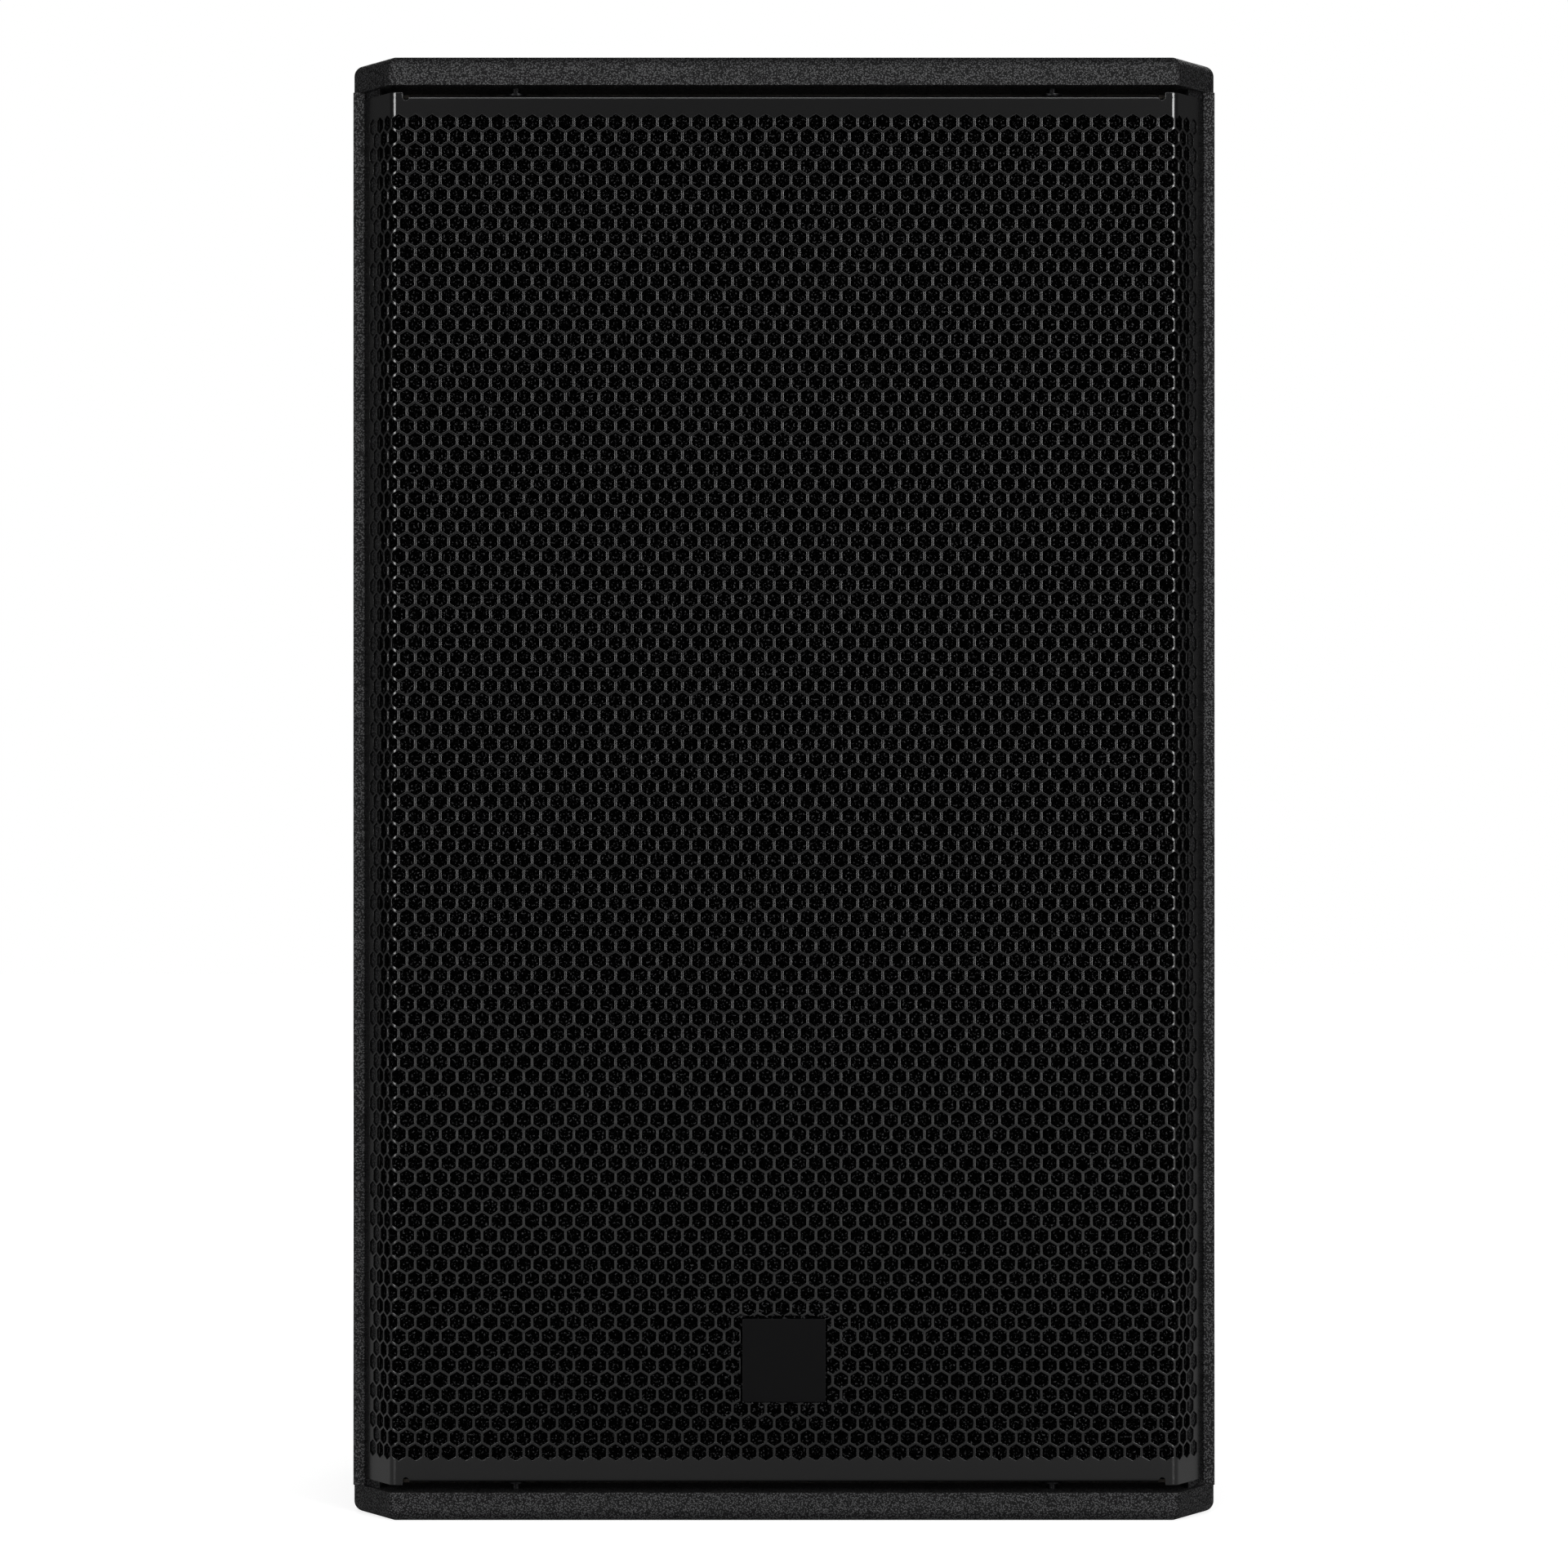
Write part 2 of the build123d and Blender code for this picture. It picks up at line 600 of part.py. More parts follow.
HORN_SCREW_PLACES = [
    (u * (HORN_WIDTH / 2 - HORN_SCREW_INSET), v * (HORN_HEIGHT / 2 - HORN_SCREW_INSET))
    for u in (-1, 0, 1)
    for v in (-1, 1)
]

with BuildPart() as front_baffle:
    with BuildSketch(facing_front(BAFFLE_DEPTH, 0, HEIGHT / 2)):
        Rectangle(2 * INSIDE, HEIGHT - 2 * PLY)
    extrude(amount=-BAFFLE)
    with BuildSketch(facing_front(BAFFLE_DEPTH)):
        with Locations((0, WOOFER_Z)):
            Circle(BASKET_R + CUT_CLEAR)
            with PolarLocations(WOOFER_SCREW_CIRCLE_R, WOOFER_SCREWS, start_angle=180 / WOOFER_SCREWS):
                Circle(WOOFER_SCREW_R + HOLE_CLEAR)
        with Locations(*[(side * PORT_X, PORT_Z) for side in (-1, 1)]):
            Circle(PORT_OUTER_R + CUT_CLEAR)
        with Locations((0, HORN_Z)):
            horn_cut = 2 * (HORN_WALL + CUT_CLEAR)
            RectangleRounded(MOUTH_WIDTH + horn_cut, MOUTH_HEIGHT + horn_cut, MOUTH_CORNER + horn_cut / 2)
            with Locations(*HORN_SCREW_PLACES):
                Circle(HORN_SCREW_R + HOLE_CLEAR)
    extrude(amount=-BAFFLE, mode=Mode.SUBTRACT)
finish(front_baffle, "front_baffle")

WINDOW_SIDE = inner_wall_x(SHELF_END) - SHELF_RIM

with BuildPart() as shelf_brace:
    with BuildSketch(Plane.XY.offset(SHELF_Z)):
        with BuildLine():
            Polyline(
                *both_sides(
                    [
                        (INSIDE, FRONT + BAFFLE_BACK),
                        (INSIDE, FRONT + TAPER_INSIDE),
                        (inner_wall_x(SHELF_END), FRONT + SHELF_END),
                    ]
                ),
                close=True,
            )
        make_face()
        with Locations((0, FRONT + (BAFFLE_BACK + SHELF_END) / 2)):
            RectangleRounded(
                2 * WINDOW_SIDE, SHELF_END - BAFFLE_BACK - 2 * SHELF_RIM, SHELF_RIM, mode=Mode.SUBTRACT
            )
    extrude(amount=PLY)
finish(shelf_brace, "shelf_brace")

# ---------------------------------------------------------------- grille

SHEET_LOW = PLY + GRILLE_GAP
SHEET_HIGH = HEIGHT - PLY - GRILLE_GAP
RETURN_LOW = PLY + RETURN_GAP
RETURN_HIGH = HEIGHT - PLY - RETURN_GAP
RETURN_HALF = NOTCH_X - NOTCH_WIDTH / 2
LEAF_END = LIP_END + EDGE_GAP
SHEET_FRONT = both_sides([fold_point(GRILLE_RECESS), bevel_point(LEAF_END, GRILLE_RECESS)][::-1])
SHEET_BACK = both_sides([fold_point(REBATE), bevel_point(LEAF_END, REBATE)][::-1])
WINDOW = BADGE + 2 * BADGE_GAP

with BuildPart() as grille:
    with BuildSketch(Plane.XY.offset(SHEET_LOW)):
        with BuildLine():
            FilletPolyline(*SHEET_FRONT, radius=BEVEL_BEND)
            FilletPolyline(*SHEET_BACK, radius=BEVEL_BEND - SHEET)
            Line(SHEET_FRONT[0], SHEET_BACK[0])
            Line(SHEET_FRONT[-1], SHEET_BACK[-1])
        make_face()
    extrude(amount=SHEET_HIGH - SHEET_LOW)
    with BuildSketch(facing_front(GRILLE_RECESS)):
        for edge, inward in ((SHEET_LOW, 1), (SHEET_HIGH, -1)):
            fold = RETURN_GAP - GRILLE_GAP + RETURN_BEND
            with Locations((0, edge + inward * fold / 2)):
                Rectangle(2 * RETURN_HALF, fold)
            with Locations(*[(side * NOTCH_X, edge + inward * (NOTCH_DEPTH - NOTCH_WIDTH / 2)) for side in (-1, 1)]):
                Circle(NOTCH_WIDTH / 2)
            straight = NOTCH_DEPTH - NOTCH_WIDTH / 2
            with Locations(*[(side * NOTCH_X, edge + inward * straight / 2) for side in (-1, 1)]):
                Rectangle(NOTCH_WIDTH, straight)
        with Locations((0, BADGE_Z + WINDOW_RISE)):
            Rectangle(WINDOW, WINDOW)
    extrude(amount=-SHEET, mode=Mode.SUBTRACT)
    with BuildSketch(Plane.YZ):
        for edge, inward in ((RETURN_LOW, 1), (RETURN_HIGH, -1)):
            outer_y = FRONT + GRILLE_RECESS
            start = edge + inward * RETURN_BEND
            with BuildLine():
                outer_line = FilletPolyline(
                    (outer_y, start + inward * SHEET),
                    (outer_y, edge),
                    (outer_y + RETURN_LENGTH, edge),
                    radius=RETURN_BEND,
                )
                inner_line = FilletPolyline(
                    (outer_y + SHEET, start + inward * SHEET),
                    (outer_y + SHEET, edge + inward * SHEET),
                    (outer_y + RETURN_LENGTH, edge + inward * SHEET),
                    radius=RETURN_BEND - SHEET,
                )
                Line(outer_line @ 0, inner_line @ 0)
                Line(outer_line @ 1, inner_line @ 1)
            make_face()
    extrude(amount=RETURN_HALF, both=True)
    with BuildSketch(Plane.XY.offset(RETURN_LOW)):
        with Locations(*GRILLE_SCREW_PLACES):
            Circle(RIVET_R)
    extrude(amount=RETURN_HIGH - RETURN_LOW, mode=Mode.SUBTRACT)
finish(grille, "grille")

FOAM_FRONT = REBATE + SEAT_GAP
FOAM_REACH = (PLY + 2 * SEAT_GAP - FOAM_FRONT * sin(BEVEL)) / cos(BEVEL)
BRACKET_SIZE = WINDOW + 2 * BRACKET_LAP
FOAM_EDGE = RETURN_GAP + SHEET + SEAT_GAP

with BuildPart() as grille_foam:
    with BuildSketch(Plane.XY.offset(PLY + FOAM_EDGE)):
        with BuildLine():
            Polyline(
                *both_sides(
                    [
                        fold_point(FOAM_FRONT + FOAM),
                        bevel_point(FOAM_REACH, FOAM_FRONT + FOAM),
                        bevel_point(FOAM_REACH, FOAM_FRONT),
                        fold_point(FOAM_FRONT),
                    ]
                ),
                close=True,
            )
        make_face()
    extrude(amount=HEIGHT - 2 * PLY - 2 * FOAM_EDGE)
    with BuildSketch(facing_front(FOAM_FRONT)):
        with Locations((0, BADGE_Z)):
            Rectangle(BRACKET_SIZE + 2 * SEAT_GAP, BRACKET_SIZE + 2 * SEAT_GAP)
    extrude(amount=-FOAM, mode=Mode.SUBTRACT)
finish(grille_foam, "grille_foam")

with BuildPart() as badge_plate:
    with BuildSketch(facing_front(REBATE, 0, BADGE_Z)):
        RectangleRounded(BADGE, BADGE, BADGE_RADIUS)
    extrude(amount=SHEET + BADGE_PROUD)
    fillet(badge_plate.faces().sort_by(Axis.Y)[0].edges(), radius=BADGE_PROUD)
finish(badge_plate, "badge_plate")

with BuildPart() as badge_bracket:
    with BuildSketch(facing_front(REBATE, 0, BADGE_Z)):
        RectangleRounded(BRACKET_SIZE, BRACKET_SIZE, BRACKET_LAP / 2)
    extrude(amount=-BRACKET)
finish(badge_bracket, "badge_bracket")

RIVET_BACK = RIVET_LENGTH - SHEET

with BuildPart() as rivet_nut:
    with BuildSketch(Plane.XZ):
        with BuildLine():
            Polyline(
                (GRILLE_SCREW_R, RIVET_HEAD),
                (RIVET_HEAD_R, RIVET_HEAD),
                (RIVET_HEAD_R, 0),
                (RIVET_R, 0),
                (RIVET_R, -SHEET),
                (RIVET_R + SHEET / 2, -SHEET),
                (RIVET_R + SHEET / 2, -SHEET - RIVET_HEAD),
                (RIVET_R, -SHEET - RIVET_HEAD),
                (RIVET_R, -RIVET_BACK),
                (GRILLE_SCREW_R, -RIVET_BACK),
                close=True,
            )
        make_face()
    revolve(axis=Axis.Z)

with BuildPart() as grille_rivet_nuts:
    with Locations(*[(x, y, RETURN_HIGH) for x, y in GRILLE_SCREW_PLACES]):
        add(rivet_nut.part)
    with Locations(*[Location((x, y, RETURN_LOW), (180, 0, 0)) for x, y in GRILLE_SCREW_PLACES]):
        add(rivet_nut.part)
finish(grille_rivet_nuts, "grille_rivet_nuts")

grille_screw = screw(
    GRILLE_SCREW_R, GRILLE_SCREW_HEAD_R, 0, PLY + RETURN_GAP + RIVET_BACK, countersunk=True
)

with BuildPart() as grille_screws:
    with Locations(*[(x, y, HEIGHT) for x, y in GRILLE_SCREW_PLACES]):
        add(grille_screw)
    with Locations(*[Location((x, y, 0), (180, 0, 0)) for x, y in GRILLE_SCREW_PLACES]):
        add(grille_screw)
finish(grille_screws, "grille_screws")

# ---------------------------------------------------------------- woofer

WOOFER_AXIS = turning_axis(WOOFER_Z)
RIM_END = BAFFLE_DEPTH + BASKET_RIM_LENGTH
SPIDER_DEPTH = MOTOR_DEPTH - SPIDER_SHELF
NECK_WALL_R = SPIDER_R - BASKET_WALL
BASKET_INNER_R = BASKET_R - BASKET_WALL
BASKET_BORE_R = PLATE_BORE_R + BASKET_WALL

with BuildPart() as woofer_basket:
    with BuildSketch(radius_and_depth(WOOFER_Z)):
        with BuildLine():
            Polyline(
                (WOOFER_R, FLANGE_FACE),
                (WOOFER_R, BAFFLE_DEPTH),
                (BASKET_R, BAFFLE_DEPTH),
                (BASKET_R, RIM_END),
                (SPIDER_R + BASKET_WALL, SPIDER_DEPTH),
                (SPIDER_R + BASKET_WALL, MOTOR_DEPTH),
                (BASKET_BORE_R, MOTOR_DEPTH),
                (BASKET_BORE_R, MOTOR_DEPTH - BASKET_WALL),
                (NECK_WALL_R, MOTOR_DEPTH - BASKET_WALL),
                (NECK_WALL_R, SPIDER_DEPTH),
                (SPIDER_R, SPIDER_DEPTH),
                (BASKET_INNER_R, RIM_END - BASKET_WALL),
                (BASKET_INNER_R, FLANGE_FACE),
                close=True,
            )
        make_face()
    revolve(axis=WOOFER_AXIS)
    with BuildSketch(facing_front(RIM_END + BASKET_WALL, 0, WOOFER_Z)):
        with BuildLine():
            half = radians(180 / BASKET_WINDOWS) - BASKET_SPOKE / (2 * SPIDER_R)
            corners = [(r * cos(half), r * sin(half)) for r in (SPIDER_R, BASKET_R + BASKET_WALL)]
            Polyline(*corners, *[(x, -y) for x, y in corners[::-1]], close=True)
        make_face()
    gap_length = SPIDER_DEPTH - RIM_END - 2 * BASKET_WALL
    gap = extrude(amount=-gap_length, mode=Mode.PRIVATE)
    for index in range(BASKET_WINDOWS):
        add(gap.rotate(WOOFER_AXIS, index * 360 / BASKET_WINDOWS), mode=Mode.SUBTRACT)
    with BuildSketch(facing_front(FLANGE_FACE, 0, WOOFER_Z)):
        with PolarLocations(WOOFER_SCREW_CIRCLE_R, WOOFER_SCREWS, start_angle=180 / WOOFER_SCREWS):
            Circle(WOOFER_SCREW_R + HOLE_CLEAR)
    extrude(amount=-BASKET_FLANGE, mode=Mode.SUBTRACT)
finish(woofer_basket, "woofer_basket")

ROLL_R = (SURROUND_INNER_R + BASKET_INNER_R) / 2
ROLL_HALF = (BASKET_INNER_R - SURROUND_INNER_R) / 2 - 2 * SEAT_GAP

with BuildPart() as woofer_surround:
    with BuildSketch(radius_and_depth(WOOFER_Z)):
        with BuildLine():
            front_arc = ThreePointArc(
                (ROLL_R - ROLL_HALF, SURROUND_FACE),
                (ROLL_R, SURROUND_FACE - SURROUND_ROLL),
                (ROLL_R + ROLL_HALF, SURROUND_FACE),
            )
            back_arc = ThreePointArc(
                (ROLL_R + ROLL_HALF - SURROUND, FLANGE_FACE),
                (ROLL_R, FLANGE_FACE - SURROUND_ROLL),
                (ROLL_R - ROLL_HALF + SURROUND, FLANGE_FACE),
            )
            Polyline(
                front_arc @ 1, (SURROUND_OUTER_R, SURROUND_FACE), (SURROUND_OUTER_R, FLANGE_FACE), back_arc @ 0
            )
            inner_edge = SURROUND_INNER_R - 2 * SURROUND
            Polyline(back_arc @ 1, (inner_edge, FLANGE_FACE), (inner_edge, SURROUND_FACE), front_arc @ 0)
        make_face()
    revolve(axis=WOOFER_AXIS)
finish(woofer_surround, "woofer_surround")

with BuildPart() as woofer_gasket:
    with BuildSketch(facing_front(SURROUND_FACE, 0, WOOFER_Z)):
        Circle(WOOFER_R)
        Circle(BASKET_INNER_R, mode=Mode.SUBTRACT)
    extrude(amount=GASKET)
    with BuildSketch(facing_front(SURROUND_FACE, 0, WOOFER_Z)):
        Circle(WOOFER_R)
        Circle(SURROUND_OUTER_R + HOLE_CLEAR, mode=Mode.SUBTRACT)
    extrude(amount=-SURROUND)
    with BuildSketch(facing_front(GASKET_FACE, 0, WOOFER_Z)):
        with PolarLocations(WOOFER_SCREW_CIRCLE_R, WOOFER_SCREWS, start_angle=180 / WOOFER_SCREWS):
            Circle(WOOFER_SCREW_R + HOLE_CLEAR)
    extrude(amount=-(GASKET + SURROUND), mode=Mode.SUBTRACT)
finish(woofer_gasket, "woofer_gasket")


CONE_CHORD = sqrt((CONE_R - NECK_R) ** 2 + CONE_DEPTH**2)
CONE_RISE = sqrt(CONE_CURVE_R**2 - (CONE_CHORD / 2) ** 2) / CONE_CHORD
CONE_CENTRE_R = (CONE_R + NECK_R) / 2 + CONE_RISE * CONE_DEPTH
CONE_CENTRE_DEPTH = (FLANGE_FACE + NECK_DEPTH) / 2 + CONE_RISE * (CONE_R - NECK_R)


def cone_depth(radius):
    """Depth of the cone's flared front face at a radius."""
    return CONE_CENTRE_DEPTH - sqrt(CONE_CURVE_R**2 - (CONE_CENTRE_R - radius) ** 2)


with BuildPart() as woofer_cone:
    with BuildSketch(radius_and_depth(WOOFER_Z)):
        with BuildLine():
            face = [(radius, cone_depth(radius)) for radius in (CONE_R, (CONE_R + NECK_R) / 2, NECK_R)]
            back = [(radius, depth + CONE_THICK) for radius, depth in face]
            ThreePointArc(*face)
            ThreePointArc(*back)
            Line(face[0], back[0])
            Line(face[-1], back[-1])
        make_face()
    revolve(axis=WOOFER_AXIS)
finish(woofer_cone, "woofer_cone")


def dome_radius(half_width, rise):
    """Radius of the sphere whose cap has this half width and rise."""
    return (half_width**2 + rise**2) / (2 * rise)


CAP_TOP = cone_depth(DUST_CAP_R) - DUST_CAP_RISE
CAP_INNER_R = DUST_CAP_R - 2 * CAP_THICK

with BuildPart() as woofer_dust_cap:
    with BuildSketch(radius_and_depth(WOOFER_Z)):
        with BuildLine():
            rim, inner_rim = (DUST_CAP_R, cone_depth(DUST_CAP_R)), (CAP_INNER_R, cone_depth(CAP_INNER_R))
            crown, inner_crown = (0, CAP_TOP), (0, CAP_TOP + CAP_THICK)
            RadiusArc(crown, rim, -dome_radius(rim[0], rim[1] - crown[1]))
            Line(rim, inner_rim)
            RadiusArc(inner_crown, inner_rim, -dome_radius(inner_rim[0], inner_rim[1] - inner_crown[1]))
            Line(inner_crown, crown)
        make_face()
    revolve(axis=WOOFER_AXIS)
finish(woofer_dust_cap, "woofer_dust_cap")

COIL_END = MOTOR_DEPTH + PLATE / 2 + WINDING_LENGTH / 2

with BuildPart() as voice_coil:
    with BuildSketch(radius_and_depth(WOOFER_Z)):
        with Locations((COIL_R + FORMER / 2, (NECK_DEPTH + COIL_END) / 2)):
            Rectangle(FORMER, COIL_END - NECK_DEPTH)
        with Locations((COIL_R + FORMER + WINDING / 2, COIL_END - WINDING_LENGTH / 2)):
            Rectangle(WINDING, WINDING_LENGTH)
    revolve(axis=WOOFER_AXIS)
finish(voice_coil, "voice_coil")

SPIDER_OUTER_R = SPIDER_R - CUT_CLEAR
SPIDER_FROM_R = NECK_R + RUNNING
SPIDER_STEP = (NECK_WALL_R - SPIDER_FROM_R) / (2 * SPIDER_WAVES + 1)

with BuildPart() as woofer_spider:
    with BuildSketch(radius_and_depth(WOOFER_Z)):
        with BuildLine():
            crests = [
                (NECK_WALL_R - index * SPIDER_STEP, SPIDER_DEPTH - (index % 2) * SPIDER_WAVE)
                for index in range(2 * SPIDER_WAVES + 1)
            ]
            back_line = [(SPIDER_OUTER_R, SPIDER_DEPTH), *crests, (SPIDER_FROM_R, SPIDER_DEPTH)]
            Polyline(*back_line, *[(r, depth - SPIDER) for r, depth in back_line[::-1]], close=True)
        make_face()
    revolve(axis=WOOFER_AXIS)
finish(woofer_spider, "woofer_spider")

with BuildPart() as motor_top_plate:
    with BuildSketch(facing_front(MOTOR_DEPTH, 0, WOOFER_Z)):
        Circle(PLATE_R)
        Circle(PLATE_BORE_R, mode=Mode.SUBTRACT)
    extrude(amount=-PLATE)
    chamfer(motor_top_plate.edges().group_by(Axis.Y)[0].sort_by(SortBy.RADIUS)[-1], length=PLATE_CHAMFER)
finish(motor_top_plate, "motor_top_plate")

with BuildPart() as motor_magnet:
    with BuildSketch(facing_front(MAGNET_DEPTH, 0, WOOFER_Z)):
        Circle(MAGNET_R)
        Circle(MAGNET_BORE_R, mode=Mode.SUBTRACT)
    extrude(amount=-MAGNET)
finish(motor_magnet, "motor_magnet")

with BuildPart() as motor_back_plate:
    with BuildSketch(radius_and_depth(WOOFER_Z)):
        with BuildLine():
            Polyline(
                (VENT_R, MOTOR_DEPTH),
                (POLE_PIECE_R, MOTOR_DEPTH),
                (POLE_PIECE_R, BACK_PLATE_DEPTH),
                (PLATE_R, BACK_PLATE_DEPTH),
                (PLATE_R, BACK_PLATE_DEPTH + PLATE),
                (VENT_R, BACK_PLATE_DEPTH + PLATE),
                close=True,
            )
        make_face()
    revolve(axis=WOOFER_AXIS)
finish(motor_back_plate, "motor_back_plate")

woofer_screw = screw(WOOFER_SCREW_R, WOOFER_SCREW_HEAD_R, WOOFER_SCREW_HEAD, WOOFER_SCREW_LENGTH)

with BuildPart() as woofer_screws:
    with Locations(facing_front(GASKET_FACE, 0, WOOFER_Z)):
        with PolarLocations(WOOFER_SCREW_CIRCLE_R, WOOFER_SCREWS, start_angle=180 / WOOFER_SCREWS):
            add(woofer_screw)
finish(woofer_screws, "woofer_screws")

# ---------------------------------------------------------------- ports

with BuildPart() as port_tubes:
    for side in (-1, 1):
        with BuildSketch(radius_and_depth(PORT_Z, side * PORT_X)):
            with BuildLine():
                Polyline(
                    (PORT_R + PORT_FLARE, BAFFLE_DEPTH - PORT_FLANGE),
                    (PORT_FLANGE_R, BAFFLE_DEPTH - PORT_FLANGE),
                    (PORT_FLANGE_R, BAFFLE_DEPTH),
                    (PORT_OUTER_R, BAFFLE_DEPTH),
                    (PORT_OUTER_R, BAFFLE_DEPTH + PORT_LENGTH),
                    (PORT_R, BAFFLE_DEPTH + PORT_LENGTH),
                    (PORT_R, BAFFLE_DEPTH - PORT_FLANGE + PORT_FLARE),
                )
                RadiusArc(
                    (PORT_R, BAFFLE_DEPTH - PORT_FLANGE + PORT_FLARE),
                    (PORT_R + PORT_FLARE, BAFFLE_DEPTH - PORT_FLANGE),
                    -PORT_FLARE,
                )
            make_face()
        revolve(axis=turning_axis(PORT_Z, side * PORT_X))
finish(port_tubes, "port_tubes")

# ---------------------------------------------------------------- horn and compression driver

HORN_FACE = BAFFLE_DEPTH - HORN_FLANGE
THROAT_DEPTH = HORN_FACE + HORN_LENGTH
WAIST_DEPTH = HORN_FACE + WAIST_SHARE * HORN_LENGTH
HORN_AXIS = turning_axis(HORN_Z)


HORN_SECTIONS = [
    (HORN_FACE, MOUTH_WIDTH, MOUTH_HEIGHT, MOUTH_CORNER),
    (WAIST_DEPTH, WAIST_WIDTH, WAIST_HEIGHT, WAIST_CORNER),
    (THROAT_DEPTH, 2 * THROAT_R, 2 * THROAT_R, THROAT_R * THROAT_ROUND),
]


def horn_shape(wall):
    """The horn's air passage from mouth to throat, grown all round by a wall's thickness."""
    with BuildPart() as made:
        for depth, width, height, corner in HORN_SECTIONS:
            with BuildSketch(facing_front(depth, 0, HORN_Z)):
                RectangleRounded(width + 2 * wall, height + 2 * wall, corner + wall)
        loft()
    return made.part


with BuildPart() as horn:
    add(horn_shape(HORN_WALL))
    with BuildSketch(facing_front(BAFFLE_DEPTH, 0, HORN_Z)):
        RectangleRounded(HORN_WIDTH, HORN_HEIGHT, HORN_CORNER)
    extrude(amount=HORN_FLANGE)
    with BuildSketch(facing_front(THROAT_DEPTH - DRIVER_FLANGE, 0, HORN_Z)):
        Circle(DRIVER_FLANGE_R)
    extrude(amount=-DRIVER_FLANGE)
    add(horn_shape(0), mode=Mode.SUBTRACT)
    with BuildSketch(facing_front(HORN_FACE, 0, HORN_Z)):
        with Locations(*HORN_SCREW_PLACES):
            Circle(HORN_SCREW_R + HOLE_CLEAR)
    extrude(amount=-HORN_FLANGE, mode=Mode.SUBTRACT)
    with BuildSketch(facing_front(THROAT_DEPTH - DRIVER_FLANGE, 0, HORN_Z)):
        with PolarLocations(DRIVER_BOLT_CIRCLE_R, DRIVER_BOLTS, start_angle=90):
            Circle(DRIVER_BOLT_R + HOLE_CLEAR)
    extrude(amount=-DRIVER_FLANGE, mode=Mode.SUBTRACT)
finish(horn, "horn")

horn_screw = screw(HORN_SCREW_R, HORN_SCREW_HEAD_R, HORN_SCREW_HEAD, HORN_SCREW_LENGTH)

with BuildPart() as horn_screws:
    with Locations(facing_front(HORN_FACE, 0, HORN_Z)):
        with Locations(*HORN_SCREW_PLACES):
            add(horn_screw)
finish(horn_screws, "horn_screws")

with BuildPart() as driver_body:
    with BuildSketch(radius_and_depth(HORN_Z)):
        with BuildLine():
            Polyline(
                (THROAT_R, THROAT_DEPTH),
                (DRIVER_FLANGE_R, THROAT_DEPTH),
                (DRIVER_FLANGE_R, THROAT_DEPTH + DRIVER_FLANGE),
                (DRIVER_R, THROAT_DEPTH + DRIVER_FLANGE),
                (DRIVER_R, THROAT_DEPTH + DRIVER_LENGTH),
                (THROAT_R, THROAT_DEPTH + DRIVER_LENGTH),
                close=True,
            )
        make_face()
    revolve(axis=HORN_AXIS)
    with BuildSketch(facing_front(THROAT_DEPTH, 0, HORN_Z)):
        with PolarLocations(DRIVER_BOLT_CIRCLE_R, DRIVER_BOLTS, start_angle=90):
            Circle(DRIVER_BOLT_R + HOLE_CLEAR)
    extrude(amount=-DRIVER_BOLT_GRIP, mode=Mode.SUBTRACT)
finish(driver_body, "driver_body")

with BuildPart() as driver_cap:
    with BuildSketch(facing_front(THROAT_DEPTH + DRIVER_LENGTH, 0, HORN_Z)):
        Circle(CAP_R)
    extrude(amount=-CAP_LENGTH)
    fillet(driver_cap.edges().group_by(Axis.Y)[-1], radius=CAP_ROUND)
finish(driver_cap, "driver_cap")

driver_bolt = screw(DRIVER_BOLT_R, DRIVER_BOLT_HEAD_R, DRIVER_BOLT_HEAD, DRIVER_FLANGE + DRIVER_BOLT_GRIP)

with BuildPart() as driver_bolts:
    with Locations(facing_front(THROAT_DEPTH - DRIVER_FLANGE, 0, HORN_Z)):
        with PolarLocations(DRIVER_BOLT_CIRCLE_R, DRIVER_BOLTS, start_angle=90):
            add(driver_bolt)
finish(driver_bolts, "driver_bolts")

# ---------------------------------------------------------------- amplifier module

